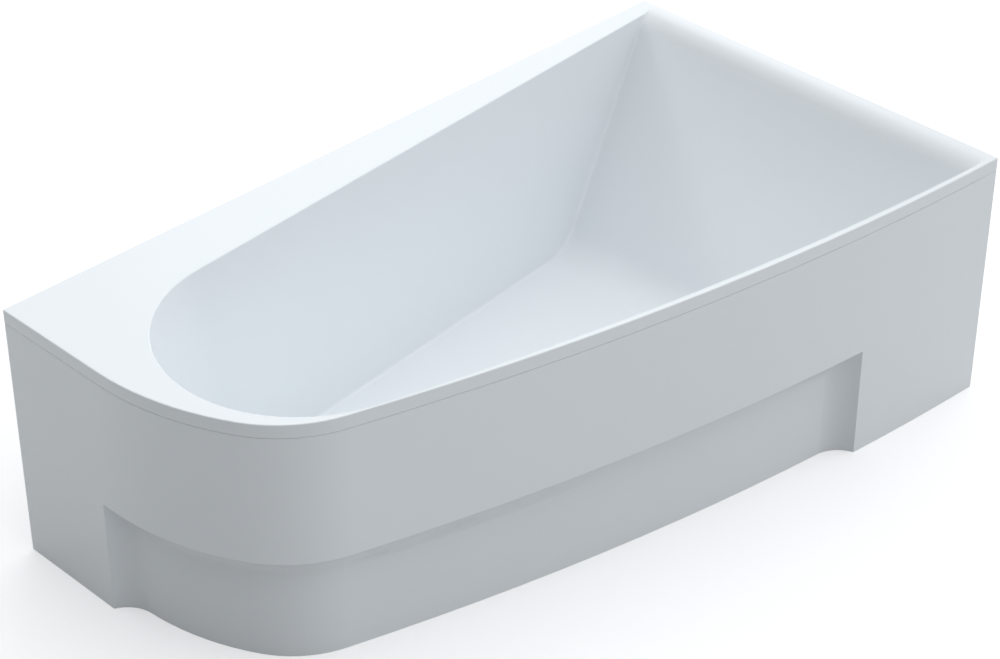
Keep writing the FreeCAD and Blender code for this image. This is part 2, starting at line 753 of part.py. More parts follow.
def recess_section(name, skin):
    """Section of the toe recess: straight back and a cove under the overhang."""
    sketch = doc.addObject("Sketcher::SketchObject", name)
    sketch.Placement = Placement(Vector(0, 0, 0), Rotation(Vector(1, 0, 0), 90))
    place(sketch, -HALF_LENGTH, HALF_WIDTH + size.wall_reach, 0)
    radius = size.cove_radius + skin
    depth = size.recess_depth + skin
    centre_x = size.recess_depth - size.cove_radius
    centre_z = size.recess_top - root(size.cove_radius * size.cove_radius
                                      - centre_x * centre_x)
    outside = dim(-2)
    top = centre_z + root(radius * radius - (centre_x - outside) * (centre_x - outside))
    centre = Vector(centre_x.value, centre_z.value, 0)
    arc_end = Vector(outside.value, top.value, 0)
    low = dim(-1)
    lines = [
        Part.LineSegment(Vector(outside.value, low.value, 0), Vector(depth.value, low.value, 0)),
        Part.LineSegment(Vector(depth.value, low.value, 0),
                         Vector(depth.value, centre_z.value, 0)),
        arc(centre, radius.value, 0, angle_of(arc_end - centre)),
        Part.LineSegment(arc_end, Vector(outside.value, low.value, 0)),
    ]
    for line in lines:
        sketch.addGeometry(line, False)
    for first, second in ((0, 1), (2, 3), (3, 0)):
        sketch.addConstraint(Sketcher.Constraint("Coincident", first, 2, second, 1))
    sketch.addConstraint(Sketcher.Constraint("Tangent", 1, 2, 2, 1))
    sketch.addConstraint(Sketcher.Constraint("Vertical", 1))
    shift_to(sketch, 0, 1, outside, low)
    shift_to(sketch, 0, 2, depth, low)
    shift_to(sketch, 2, 3, centre_x, centre_z)
    limit(sketch, ("DistanceX", -1, 1, 3, 1), outside)
    return sketch


def radial(centre, degrees, distance):
    """A point at a distance from a centre, in the direction of an angle."""
    angle = math.radians(degrees)
    return centre + Vector(math.cos(angle), math.sin(angle), 0) * distance


LEFT_TURN = 180 + size.recess_left_turn.value
RIGHT_TURN = 270 - size.recess_right_turn.value
COVE_OUT = (size.cove_radius - size.recess_depth - size.cove_bite).value
LEFT_COVE = radial(BEND_CENTRE, LEFT_TURN, size.bend_radius.value + COVE_OUT)
RIGHT_COVE = radial(FRONT_CENTRE, RIGHT_TURN, size.front_radius.value + COVE_OUT)


def recess_solid(name, skin):
    """The toe recess, or the same grown by the panel's wall."""
    skin = dim(skin)
    sweep = doc.addObject("Part::Sweep", name + "_sweep")
    sweep.Sections = [recess_section(name + "_section", skin)]
    sweep.Spine = (plan, ["Edge1", "Edge2", "Edge3", "Edge4"])
    sweep.Solid = True
    clear = 100
    between = doc.addObject("Sketcher::SketchObject", name + "_between")
    corners = [
        radial(BEND_CENTRE, LEFT_TURN, size.bend_radius.value - clear),
        radial(BEND_CENTRE, LEFT_TURN, size.bend_radius.value + clear),
        Vector(-HALF_LENGTH.value - clear, -HALF_WIDTH.value - clear, 0),
        radial(FRONT_CENTRE, RIGHT_TURN, size.front_radius.value + clear),
        radial(FRONT_CENTRE, RIGHT_TURN, size.front_radius.value - clear),
    ]
    polygon(between, [(corner.x, corner.y) for corner in corners])
    column = extrusion(name + "_between_column", between, UP, size.height)
    place(column, 0, 0, -size.overshoot)
    ends = [cylinder("%s_end_%d" % (name, number), size.cove_radius + skin, size.height,
                     centre.x, centre.y, -size.overshoot)
            for number, centre in enumerate((LEFT_COVE, RIGHT_COVE))]
    return common(name, sweep, fuse(name + "_reach", column, *ends))


def front_panel():
    """One curved skin from wall to wall with the toe recess pressed into it."""
    top = LIP_LOW - size.panel_gap
    outer = cut("panel_outer", plan_slab("panel_block", plan, 0, top),
                recess_solid("recess", 0))
    inner_line = plan_line("panel_inner_line", size.panel_wall)
    inner = extrusion("panel_inner_column", inner_line, UP, top + PAST * 2)
    place(inner, 0, 0, -PAST)
    hollow = cut("panel_hollow", inner, recess_solid("recess_back", size.panel_wall))
    return cut("panel_skin", outer, hollow)


finish(acrylic_shell(), "acrylic_shell")
finish(laminate_backing(), "laminate_backing")
finish(front_panel(), "front_panel")


# ---- chassis: everything square to the sloping floor ---------------------------

CHASSIS_BASE = (size.floor_height - SKIN / cosine(size.floor_fall)).value
CHASSIS = Placement(Vector(0, 0, CHASSIS_BASE),
                    Rotation(Vector(0, 1, 0), -size.floor_fall.value))


def at(x=0, y=0, z=0, turn=0):
    """A placement from sheet-driven coordinates and a turn about Z."""
    spot = Vector(dim(x).value, dim(y).value, dim(z).value)
    return Placement(spot, Rotation(UP, turn))


def on_chassis(obj, x=0, y=0, z=0, turn=0):
    obj.Placement = CHASSIS.multiply(at(x, y, z, turn))
    return obj


def hexagon(name, flats, height, bore):
    """A hexagon nut with a round bore, standing on Z 0."""
    solid = doc.addObject("Part::Prism", name + "_hexagon")
    solid.Polygon = 6
    bind(solid, "Circumradius", flats / 2 / cosine(dim(30)))
    bind(solid, "Height", height)
    return cut(name, solid, cylinder(name + "_bore", bore, height + PAST * 2, 0, 0, -PAST))


def screw(name, radius, length, head, head_height):
    """A pan-headed screw: head under Z 0, shank above it."""
    return fuse(name, cylinder(name + "_head", head, head_height, 0, 0, -head_height),
                cylinder(name + "_shank", radius, length))


RAILS = (("left_leg_rail", -size.rail_x, size.left_rail_front, size.left_rail_back),
         ("right_leg_rail", size.rail_x, size.right_rail_front, size.right_rail_back))
FLANGE_MIDDLE = (size.rail_web + size.rail_flange) / 2
RAIL_LOW = -(size.board_thick + size.rail_depth)
WEB_TOP = RAIL_LOW + size.steel


def screw_rows(front, back):
    """Heights along Y of a rail's screws: near both ends and in the middle."""
    return (front + size.screw_row_inset, (front + back) / 2, back - size.screw_row_inset)


def leg_rail(node, x, front, back):
    """A hat-shaped steel rail with holes for its rods, screws and panel bracket."""
    body = new_body(node + "_body")
    sketch = body_sketch(body, node + "_section", "XZ_Plane")
    web = size.rail_web / 2
    edge = web + size.rail_flange
    inner = web - size.steel
    polygon(sketch, [
        (-edge, 0), (-edge, -size.steel), (-web, -size.steel), (-web, -size.rail_depth),
        (web, -size.rail_depth), (web, -size.steel), (edge, -size.steel), (edge, 0),
        (inner, 0), (inner, size.steel - size.rail_depth),
        (-inner, size.steel - size.rail_depth), (-inner, 0),
    ])
    pad(body, sketch, back - front)
    holes = body_sketch(body, node + "_holes", "XY_Plane")
    for y in (-size.foot_inset, front - back + size.foot_inset):
        circle(holes, size.rod_hole, 0, y)
    circle(holes, size.bolt_radius + size.bolt_gap, 0, front - back + size.bolt_inset)
    for y in screw_rows(front, back):
        for side in (-FLANGE_MIDDLE, FLANGE_MIDDLE):
            circle(holes, size.screw_radius + size.pilot_gap, side, y - back)
    doc.recompute()
    pocket(body, holes)
    on_chassis(body, x, back, -size.board_thick)
    return finish(body, node)


def base_board():
    """The board bonded under the laminate, with pilot holes for the rail screws."""
    outline = doc.addObject("Sketcher::SketchObject", "board_outline")
    polygon(outline, [(size.board_left, size.board_left_front),
                      (size.board_right, size.board_right_front),
                      (size.board_right, size.board_right_back),
                      (size.board_left, size.board_left_back)])
    sheet_board = extrusion("board_blank", outline, UP, size.board_thick)
    corners = rounded("board_rounded", sheet_board, size.board_corner,
                      lambda point: PAST < point.z < size.board_thick.value - PAST)
    pilots = []
    for node, x, front, back in RAILS:
        for y in screw_rows(front, back):
            for side in (-FLANGE_MIDDLE, FLANGE_MIDDLE):
                pilots.append(cylinder("pilot", size.screw_radius + size.pilot_gap,
                                       size.screw_length, x + side, y, -size.steel))
    board = cut("board_drilled", corners, fuse("pilots", *pilots))
    on_chassis(board, 0, 0, -size.board_thick)
    return finish(board, "base_board")


base_board()
for rail in RAILS:
    leg_rail(*rail)

rail_screws = []
for rail_node, rail_x, rail_front, rail_back in RAILS:
    for row in screw_rows(rail_front, rail_back):
        for side in (-FLANGE_MIDDLE, FLANGE_MIDDLE):
            one = screw("rail_screw", size.screw_radius, size.screw_length,
                        size.screw_head, size.screw_head_height)
            rail_screws.append(on_chassis(one, rail_x + side, row,
                                          -(size.board_thick + size.steel)))
group("rail_screws", *rail_screws)


# ---- screw feet -----------------------------------------------------------------

def stud_head(name, grow=0):
    """The foot's swivel head at the rod's end, or the room for it in the pad."""
    grow = dim(grow)
    radius = size.head_radius + grow
    flat = size.head_flat + grow * tangent(dim(22.5))
    return loose(turned(name, [(0, -radius), (flat, -radius), (radius, -flat), (radius, flat),
                               (flat, radius), (0, radius)]))


FEET = [(rail_x, y) for rail_node, rail_x, rail_front, rail_back in RAILS
        for y in (rail_front + size.foot_inset, rail_back - size.foot_inset)]
ROD_BORE = size.rod_radius + size.nut_gap
rail_nuts = []
lock_nuts = []
for number, (foot_x, foot_y) in enumerate(FEET, start=1):
    rail_nuts.append(on_chassis(hexagon("rail_nut", size.nut_flats, size.nut_height, ROD_BORE),
                                foot_x, foot_y, WEB_TOP))
    lock_nuts.append(on_chassis(hexagon("lock_nut", size.nut_flats, size.nut_height, ROD_BORE),
                                foot_x, foot_y, RAIL_LOW - size.nut_height))
    # height of the swivel head's centre along the leaning rod
    head_z = (size.head_height - (size.floor_height - SKIN / cosine(size.floor_fall))
              - foot_x * sine(size.floor_fall)) / cosine(size.floor_fall)
    rod_length = -size.board_thick - size.rod_top_gap - head_z
    key = doc.addObject("Part::Prism", "rod_key")
    key.Polygon = 6
    bind(key, "Circumradius", size.key_radius)
    bind(key, "Height", size.key_height)
    place(key, 0, 0, size.key_low)
    rod = fuse("rod_%d" % number, stud_head("rod_head_%d" % number), key,
               cylinder("rod_shank", size.rod_radius, rod_length))
    finish(on_chassis(rod, foot_x, foot_y, head_z), "foot_rod_%d" % number)
    spot = CHASSIS.multVec(Vector(foot_x.value, foot_y.value, head_z.value))
    disc = loose(turned("foot_disc_%d" % number, [
        (0, 0), (size.pad_radius, 0), (size.pad_radius, size.pad_edge),
        (size.pad_crown, size.pad_height), (0, size.pad_height)]))
    socket = stud_head("pad_socket_%d" % number, size.socket_gap)
    place(socket, 0, 0, size.head_height)
    foot = cut("pad_%d" % number, disc, socket)
    foot.Placement = Placement(Vector(spot.x, spot.y, 0), Rotation())
    finish(foot, "foot_pad_%d" % number)
group("rail_nuts", *rail_nuts)
group("lock_nuts", *lock_nuts)


# ---- wall brackets and rim batten ---------------------------------------------

def wall_bracket(node, spot):
    """A hook plate: against the wall below the lip, hooked up behind it."""
    body = new_body(node + "_body")
    sketch = body_sketch(body, node + "_section", "XZ_Plane")
    inner = size.lip_wall + size.hook_gap
    outer = inner + size.bracket_sheet
    polygon(sketch, [
        (0, -size.bracket_drop), (size.bracket_sheet, -size.bracket_drop),
        (size.bracket_sheet, -size.bracket_sheet), (outer, -size.bracket_sheet),
        (outer, size.hook_rise), (inner, size.hook_rise), (inner, 0), (0, 0)])
    pad(body, sketch, size.bracket_width, symmetric=True)
    holes = body_sketch(body, node + "_holes", "YZ_Plane")
    for side in (-size.bracket_spacing / 2, size.bracket_spacing / 2):
        circle(holes, size.bracket_hole, side, -size.hole_drop)
    doc.recompute()
    pocket(body, holes)
    return finish(body, node, spot)


wall_bracket("back_bracket_left", at(size.bracket_left_x, HALF_WIDTH, LIP_LOW, -90))
wall_bracket("back_bracket_right", at(size.bracket_right_x, HALF_WIDTH, LIP_LOW, -90))
wall_bracket("end_bracket", at(HALF_LENGTH, 0, LIP_LOW, 180))

batten = box("batten", size.batten_length, size.batten_width, size.batten_height,
             -size.batten_length / 2,
             HALF_WIDTH - size.lip_wall - size.batten_inset - size.batten_width,
             size.height - size.lip_wall - size.batten_height)
finish(batten, "back_rim_batten")


# ---- panel brackets ---------------------------------------------------------------

PANEL_INSIDE = (size.front_radius - size.recess_depth - size.panel_wall).value
KEEPER_FACE = PANEL_INSIDE - (size.keeper_gap + size.keeper_height).value
MAGNET_FACE = KEEPER_FACE - size.magnet_gap.value
magnets = []
keepers = []
bolts = []
bolt_nuts = []
for rail_node, rail_x, rail_front, rail_back in RAILS:
    side_name = rail_node.split("_")[0]
    pivot = Vector(rail_x.value, (rail_front + size.bolt_inset).value, RAIL_LOW.value)
    facing = angle_of(CHASSIS.multVec(pivot) - FRONT_CENTRE)
    frame = CHASSIS.multiply(Placement(pivot, Rotation(UP, facing)))
    reach = 0
    for attempt in range(3):
        face = frame.multVec(Vector(reach, 0, -size.magnet_drop.value))
        flat = Vector(face.x, face.y, 0)
        reach += MAGNET_FACE - (flat - FRONT_CENTRE).Length
    leg_face = reach - size.magnet_height.value
    strip_body = new_body(side_name + "_strip_body")
    strip = body_sketch(strip_body, side_name + "_strip_section", "XZ_Plane")
    polygon(strip, [
        (-size.strip_tail, 0), (leg_face, 0), (leg_face, -size.strip_leg),
        (leg_face - size.strip_thick, -size.strip_leg),
        (leg_face - size.strip_thick, -size.strip_thick), (-size.strip_tail, -size.strip_thick)])
    pad(strip_body, strip, size.strip_width, symmetric=True)
    strip_hole = body_sketch(strip_body, side_name + "_strip_hole", "XY_Plane")
    circle(strip_hole, size.bolt_radius + size.bolt_gap)
    doc.recompute()
    pocket(strip_body, strip_hole)
    finish(strip_body, "panel_bracket_" + side_name, frame)
    magnet = cylinder("magnet", size.magnet_radius, size.magnet_height)
    on_leg = Placement(Vector(leg_face, 0, -size.magnet_drop.value),
                       Rotation(Vector(0, 1, 0), 90))
    magnet.Placement = frame.multiply(on_leg)
    magnets.append(magnet)
    bolt = screw("bracket_bolt", size.bolt_radius, size.bolt_length, size.bolt_head,
                 size.bolt_head_height)
    bolt.Placement = frame.multiply(at(0, 0, -size.strip_thick))
    bolts.append(bolt)
    nut = hexagon("bracket_nut", size.bolt_nut_flats, size.bolt_nut_height,
                  size.bolt_radius + size.running_gap)
    nut.Placement = frame.multiply(at(0, 0, size.steel))
    bolt_nuts.append(nut)
    outward = (flat - FRONT_CENTRE).normalize()
    keeper = cylinder("keeper", size.keeper_radius, size.keeper_height)
    keeper_spot = FRONT_CENTRE + outward * KEEPER_FACE
    keeper.Placement = Placement(Vector(keeper_spot.x, keeper_spot.y, face.z),
                                 Rotation(UP, outward))
    keepers.append(keeper)
group("panel_magnets", *magnets)
group("panel_keepers", *keepers)
group("bracket_bolts", *bolts)
group("bracket_nuts", *bolt_nuts)


# ---- waste ----------------------------------------------------------------------------

WASTE = at(size.drain_x, size.drain_y)
FLANGE_LOW = size.well_floor + size.seal_thick
FLANGE_TOP = FLANGE_LOW + size.flange_thick
SHELL_LOW = size.well_floor - SKIN
COLLAR_TOP = SHELL_LOW - size.lower_seal
COLLAR_LOW = COLLAR_TOP - size.collar_thick


ring("waste_top_seal", size.seal_bore, size.flange_radius - size.seal_inset, size.well_floor,
     FLANGE_LOW, WASTE)
ring("waste_lower_seal", size.seal_bore, size.flange_radius, COLLAR_TOP, SHELL_LOW, WASTE)

flange_ring = loose(turned("flange_ring", [
    (size.waste_bore, size.tail_low), (size.tail_radius, size.tail_low),
    (size.tail_radius, FLANGE_LOW), (size.flange_radius, FLANGE_LOW),
    (size.flange_radius, FLANGE_TOP - size.flange_edge),
    (size.flange_radius - size.flange_edge * 2, FLANGE_TOP),
    (size.waste_bore + size.bore_edge, FLANGE_TOP),
    (size.waste_bore, FLANGE_TOP - size.bore_edge)]))
hub = cylinder("flange_hub", size.hub_radius, size.hub_high - size.hub_low, 0, 0, size.hub_low)
webs = []
for turn in (0, 120, 240):
    web = box("flange_web", size.waste_bore + PAST, size.web_thick, size.hub_high - size.hub_low)
    web.Placement = at(0, 0, size.hub_low, turn).multiply(at(0, -size.web_thick / 2))
    webs.append(web)
flange = cut("flange_guided", fuse("flange_whole", flange_ring, hub, *webs),
             cylinder("stem_bore", size.stem_radius + size.running_gap,
                      size.hub_high - size.hub_low + PAST * 2, 0, 0, size.hub_low - PAST))
finish(flange, "waste_flange", WASTE)

CHAMBER_FLOOR = size.chamber_low + size.chamber_floor
chamber = loose(turned("waste_chamber", [
    (size.spigot_bore, size.spigot_low), (size.spigot_radius, size.spigot_low),
    (size.spigot_radius, size.chamber_low), (size.chamber_radius, size.chamber_low),
    (size.chamber_radius, COLLAR_LOW), (size.flange_radius, COLLAR_LOW),
    (size.flange_radius, COLLAR_TOP), (size.tail_radius + size.fit_gap, COLLAR_TOP),
    (size.tail_radius + size.fit_gap, size.tail_low), (size.chamber_bore, size.tail_low),
    (size.chamber_bore, CHAMBER_FLOOR), (size.spigot_bore, CHAMBER_FLOOR)]))


def sideways(solid, height, turn, x=0, y=0):
    """Lays an object's Z axis flat at a place and height, turned about the upright."""
    solid.Placement = at(x, y, height, turn).multiply(
        Placement(Vector(), Rotation(Vector(0, 1, 0), 90)))
    return solid


port_start = size.chamber_bore + PAST
port = sideways(cylinder("waste_port", size.port_radius, size.port_reach - port_start),
                size.pipe_height, 180, -port_start)
port_bore = sideways(cylinder("waste_port_bore", size.pipe_radius + size.fit_gap,
                              size.port_reach + PAST), size.pipe_height, 180)
inside = cylinder("chamber_space", size.chamber_bore, size.tail_low - CHAMBER_FLOOR, 0, 0,
                  CHAMBER_FLOOR)
cable_bore = sideways(cylinder("cable_bore", size.cable_radius + size.fit_gap,
                               size.chamber_radius + PAST), size.pipe_height, 180,
                      0, size.cable_offset)
body = cut("waste_body_drilled", fuse("waste_body_whole", chamber, port),
           fuse("waste_body_cuts", port_bore, inside, cable_bore))
finish(body, "waste_body", WASTE)

plug_low = FLANGE_TOP + size.plug_gap
turned("waste_plug", [
    (0, plug_low), (size.plug_seal_in, plug_low),
    (size.plug_seal_in, plug_low + size.plug_groove),
    (size.plug_seal_out, plug_low + size.plug_groove), (size.plug_seal_out, plug_low),
    (size.plug_radius, plug_low), (size.plug_radius, plug_low + size.plug_edge),
    (size.plug_shoulder, plug_low + size.plug_shoulder_height),
    (size.plug_flat, plug_low + size.plug_height), (0, plug_low + size.plug_height)], WASTE)
ring("plug_seal", size.plug_seal_in, size.plug_seal_out, FLANGE_TOP + size.running_gap,
     plug_low + size.plug_groove, WASTE)
stem = cylinder("stem", size.stem_radius, plug_low - size.stem_low, size.drain_x, size.drain_y,
                size.stem_low)
finish(stem, "plug_stem")


# ---- trap -------------------------------------------------------------------------------

drum = loose(turned("trap_drum", [
    (0, size.trap_low), (size.trap_radius, size.trap_low), (size.trap_radius, size.trap_top),
    (size.neck_radius, size.trap_top), (size.neck_radius, size.neck_top),
    (size.spigot_radius + size.fit_gap, size.neck_top),
    (size.spigot_radius + size.fit_gap, size.trap_top - size.trap_wall),
    (size.trap_radius - size.trap_wall, size.trap_top - size.trap_wall),
    (size.trap_radius - size.trap_wall, size.trap_low + size.trap_wall),
    (0, size.trap_low + size.trap_wall)]))
drum_space = cylinder("trap_space", size.trap_radius - size.trap_wall,
                      size.trap_top - size.trap_low - size.trap_wall * 2, 0, 0,
                      size.trap_low + size.trap_wall)
outlet = sideways(cylinder("trap_outlet", size.socket_radius,
                           size.socket_end - size.socket_start),
                  size.outlet_height, 90, 0, size.socket_start)
outlet_bore = sideways(cylinder("trap_outlet_bore", size.outlet_bore, size.socket_end + PAST),
                       size.outlet_height, 90)
outlet_seat = sideways(cylinder("trap_outlet_seat", size.outlet_radius + size.fit_gap,
                                size.socket_end - size.outlet_start + PAST),
                       size.outlet_height, 90, 0, size.outlet_start)
trap = cut("trap_drilled", fuse("trap_whole", drum, outlet),
           fuse("trap_cuts", drum_space, outlet_bore, outlet_seat))
finish(trap, "trap_body", WASTE)

turned("trap_cup", [
    (0, size.trap_low + size.trap_wall), (size.cup_foot, size.trap_low + size.trap_wall),
    (size.cup_foot, size.cup_low), (size.cup_radius, size.cup_low),
    (size.cup_radius, size.cup_high), (size.cup_radius - size.cup_wall, size.cup_high),
    (size.cup_radius - size.cup_wall, size.cup_low + size.cup_wall),
    (0, size.cup_low + size.cup_wall)], WASTE)
turned("trap_nut", [
    (size.neck_radius + size.fit_gap, size.trap_top + size.hook_gap),
    (size.neck_radius + size.nut_wall, size.trap_top + size.hook_gap),
    (size.neck_radius + size.nut_wall, size.chamber_low - size.hook_gap),
    (size.spigot_radius + size.fit_gap, size.chamber_low - size.hook_gap),
    (size.spigot_radius + size.fit_gap, size.neck_top + size.hook_gap),
    (size.neck_radius + size.fit_gap, size.neck_top + size.hook_gap)], WASTE)

OUTLET = WASTE.multiply(Placement(Vector(0, 0, size.outlet_height.value),
                                  Rotation(Vector(1, 0, 0), -90)))
pipe_end = size.outlet_end - size.drain_y
stop = pipe_end - size.outlet_free
turned("outlet_pipe", [
    (size.outlet_bore, size.outlet_start), (size.outlet_radius, size.outlet_start),
    (size.outlet_radius, stop - size.bead_width),
    (size.outlet_radius + size.bead_height, stop - size.bead_width),
    (size.outlet_radius + size.bead_height, stop), (size.outlet_radius, stop),
    (size.outlet_radius, pipe_end), (size.outlet_bore, pipe_end)], OUTLET)
nut_end = size.socket_end + size.union_lip + size.seal_thick
turned("outlet_nut", [
    (size.socket_radius + size.fit_gap, nut_end - size.union_length),
    (size.union_radius, nut_end - size.union_length), (size.union_radius, nut_end),
    (size.outlet_radius + size.hook_gap, nut_end),
    (size.outlet_radius + size.hook_gap, nut_end - size.union_lip),
    (size.socket_radius + size.fit_gap, nut_end - size.union_lip)], OUTLET)
ring("outlet_seal", size.outlet_radius + size.fit_gap, size.socket_radius, size.socket_end,
     size.socket_end + size.seal_thick, OUTLET)


# ---- overflow ---------------------------------------------------------------------------

def radial_pair(maker, height):
    """Two like objects either side of the overflow's axis."""
    made = []
    for side in (-size.overflow_screw_at, size.overflow_screw_at):
        one = maker()
        one.Placement = at(0, side, height)
        made.append(one)
    return made


plate_ring = loose(ring("plate_ring", size.plate_ring, size.plate_radius, 0, size.plate_thick))
plate_hub = cylinder("plate_hub", size.hub_radius, size.plate_thick + size.plate_hub_rise)
plate_webs = []
for turn in (0, 120, 240):
    web = box("plate_web", size.plate_ring + PAST, size.web_thick, size.plate_thick)
    web.Placement = at(0, 0, 0, turn).multiply(at(0, -size.web_thick / 2))
    plate_webs.append(web)
plate_holes = radial_pair(
    lambda: cylinder("plate_hole", size.overflow_screw + size.bolt_gap, size.cut_past),
    -size.overshoot)
spindle_bore = cylinder("spindle_bore", size.stem_radius + size.running_gap, size.cut_past,
                        0, 0, -size.overshoot)
plate = cut("plate_guided", fuse("plate_whole", plate_ring, plate_hub, *plate_webs),
            fuse("plate_cuts", spindle_bore, *plate_holes))
finish(plate, "overflow_plate", OVERFLOW)

SEAL_BACK = -SKIN - size.body_seal
BODY_BACK = -size.body_depth
ring("overflow_seal", size.body_seal_bore, size.body_rim, SEAL_BACK, -SKIN, OVERFLOW)
cup = loose(turned("overflow_cup", [
    (0, BODY_BACK), (size.body_radius, BODY_BACK),
    (size.body_radius, SEAL_BACK - size.body_rim_thick),
    (size.body_rim, SEAL_BACK - size.body_rim_thick), (size.body_rim, SEAL_BACK),
    (size.body_radius - size.body_wall, SEAL_BACK),
    (size.body_radius - size.body_wall, BODY_BACK + size.body_wall),
    (0, BODY_BACK + size.body_wall)]))
bosses = radial_pair(
    lambda: cylinder("overflow_boss", size.boss_radius, size.body_depth - SKIN - size.body_seal),
    BODY_BACK)


def downwards(solid, y=0):
    """Turns an object's Z axis to the overflow's own downward direction."""
    solid.Placement = Placement(Vector(0, dim(y).value, -size.port_depth.value),
                                Rotation(Vector(0, 1, 0), 90))
    return solid


cup_port = downwards(cylinder("overflow_port", size.port_radius, size.port_end))
cup_bore = downwards(cylinder("overflow_port_bore", size.pipe_radius + size.fit_gap,
                              size.port_end + PAST))
cup_space = cylinder("overflow_space", size.body_radius - size.body_wall,
                     size.body_depth - size.body_wall, 0, 0, BODY_BACK + size.body_wall)
cable_hole = downwards(cylinder("overflow_cable_hole", size.cable_radius + size.fit_gap,
                                size.body_radius + PAST), size.cable_offset)
pilots = radial_pair(
    lambda: cylinder("overflow_pilot", size.overflow_screw + size.running_gap,
                     size.overflow_screw_length + size.overshoot),
    -size.overflow_screw_length)
cup_walls = cut("overflow_walls", fuse("overflow_whole", cup, cup_port),
                fuse("overflow_cuts", cup_bore, cup_space, cable_hole))
overflow_body = cut("overflow_bossed", fuse("overflow_joined", cup_walls, *bosses),
                    fuse("overflow_pilots", *pilots))
finish(overflow_body, "overflow_body", OVERFLOW)


overflow_screws = []
for side in (-size.overflow_screw_at, size.overflow_screw_at):
    one = screw("overflow_screw", size.overflow_screw, size.overflow_screw_length,
                size.overflow_screw_head, size.screw_head_height)
    flipped = Placement(Vector(0, side.value, size.plate_thick.value),
                        Rotation(Vector(1, 0, 0), 180))
    one.Placement = OVERFLOW.multiply(flipped)
    overflow_screws.append(one)
group("overflow_screws", *overflow_screws)

knob_low = size.plate_thick + size.knob_stand
knob_top = knob_low + size.knob_thick
turned("overflow_knob", [
    (0, knob_low), (size.knob_radius - size.knob_edge, knob_low),
    (size.knob_radius, knob_low + size.knob_edge),
    (size.knob_radius, knob_top - size.knob_edge),
    (size.knob_radius - size.knob_edge, knob_top), (0, knob_top)], OVERFLOW)
spindle = cylinder("spindle", size.stem_radius, knob_low + size.spindle_tail)
finish(on_overflow(spindle, -size.spindle_tail), "knob_spindle")
ring("cable_drum", size.stem_radius, size.drum_radius, -size.drum_depth - size.drum_thick,
     -size.drum_depth, OVERFLOW)


# ---- overflow pipe and control cable ---------------------------------------------

def down_path(name, start, bend, height, end_x, y):
    """A path down along the narrow end's wall, round a bend and level to the waste."""
    sketch = doc.addObject("Sketcher::SketchObject", name)
    sketch.Placement = Placement(Vector(0, y, 0), Rotation(Vector(1, 0, 0), 90))
    tilt = math.radians(size.overflow_tilt.value)
    slope = Vector(math.sin(tilt), -math.cos(tilt), 0)
    side = Vector(math.cos(tilt), math.sin(tilt), 0)
    top = Vector(start.x, start.z, 0)
    centre_z = (height + bend).value
    run = (top.y + side.y * bend.value - centre_z) / math.cos(tilt)
    bend_start = top + slope * run
    centre = bend_start + side * bend.value
    low = Vector(centre.x, height.value, 0)
    end = Vector(dim(end_x).value, height.value, 0)
    for line in (Part.LineSegment(top, bend_start),
                 arc(centre, bend.value, angle_of(bend_start - centre), 270),
                 Part.LineSegment(low, end)):
        sketch.addGeometry(line, False)
    sketch.addConstraint(Sketcher.Constraint("Tangent", 0, 2, 1, 1))
    sketch.addConstraint(Sketcher.Constraint("Tangent", 1, 2, 2, 1))
    sketch.addConstraint(Sketcher.Constraint("Horizontal", 2))
    limit(sketch, ("Radius", 1), bend)
    limit(sketch, ("DistanceY", -1, 1, 2, 2), height)
    limit(sketch, ("DistanceX", -1, 1, 2, 2), end_x)
    return sketch


def swept(name, path, start, radius):
    """A round bar along a path that starts down the overflow's slope."""
    section = doc.addObject("Sketcher::SketchObject", name + "_section")
    section.Placement = Placement(start, OVERFLOW.Rotation.multiply(
        Rotation(Vector(0, 1, 0), 90)))
    circle(section, radius)
    sweep = doc.addObject("Part::Sweep", name)
    sweep.Sections = [section]
    sweep.Spine = (path, ["Edge1", "Edge2", "Edge3"])
    sweep.Solid = True
    return sweep


pipe_start = OVERFLOW.multVec(Vector((size.port_end - size.pipe_entry).value, 0,
                                     -size.port_depth.value))
pipe_finish = size.drain_x - size.port_reach + size.pipe_entry
pipe_path = down_path("pipe_path", pipe_start, size.pipe_bend, size.pipe_height, pipe_finish,
                      size.drain_y.value)
pipe = cut("pipe_hollow", swept("pipe_outside", pipe_path, pipe_start, size.pipe_radius),
           swept("pipe_inside", pipe_path, pipe_start, size.pipe_bore))
finish(pipe, "overflow_pipe")

PIPE_TOP = OVERFLOW.multiply(Placement(
    Vector((size.port_end + size.hook_gap).value, 0, -size.port_depth.value),
    Rotation(Vector(0, 1, 0), 90)))
ring("pipe_nut_upper", size.pipe_radius + size.fit_gap, size.pipe_nut_radius, 0,
     size.pipe_nut_length, PIPE_TOP)
PIPE_FOOT = WASTE.multiply(Placement(
    Vector(-(size.port_reach + size.hook_gap).value, 0, size.pipe_height.value),
    Rotation(Vector(0, 1, 0), -90)))
ring("pipe_nut_lower", size.pipe_radius + size.fit_gap, size.pipe_nut_radius, 0,
     size.pipe_nut_length, PIPE_FOOT)

cable_y = (size.drain_y + size.cable_offset).value
cable_top = root(size.body_radius * size.body_radius
                 - size.cable_offset * size.cable_offset) - size.cable_entry
cable_start = OVERFLOW.multVec(Vector(cable_top.value, size.cable_offset.value,
                                      -size.port_depth.value))
cable_finish = size.drain_x + size.cable_entry - root(
    size.chamber_radius * size.chamber_radius - size.cable_offset * size.cable_offset)
cable_path = down_path("cable_path", cable_start, size.cable_bend, size.pipe_height,
                       cable_finish, cable_y)
finish(swept("cable", cable_path, cable_start, size.cable_radius), "control_cable")


# ---- checks and output -------------------------------------------------------------------

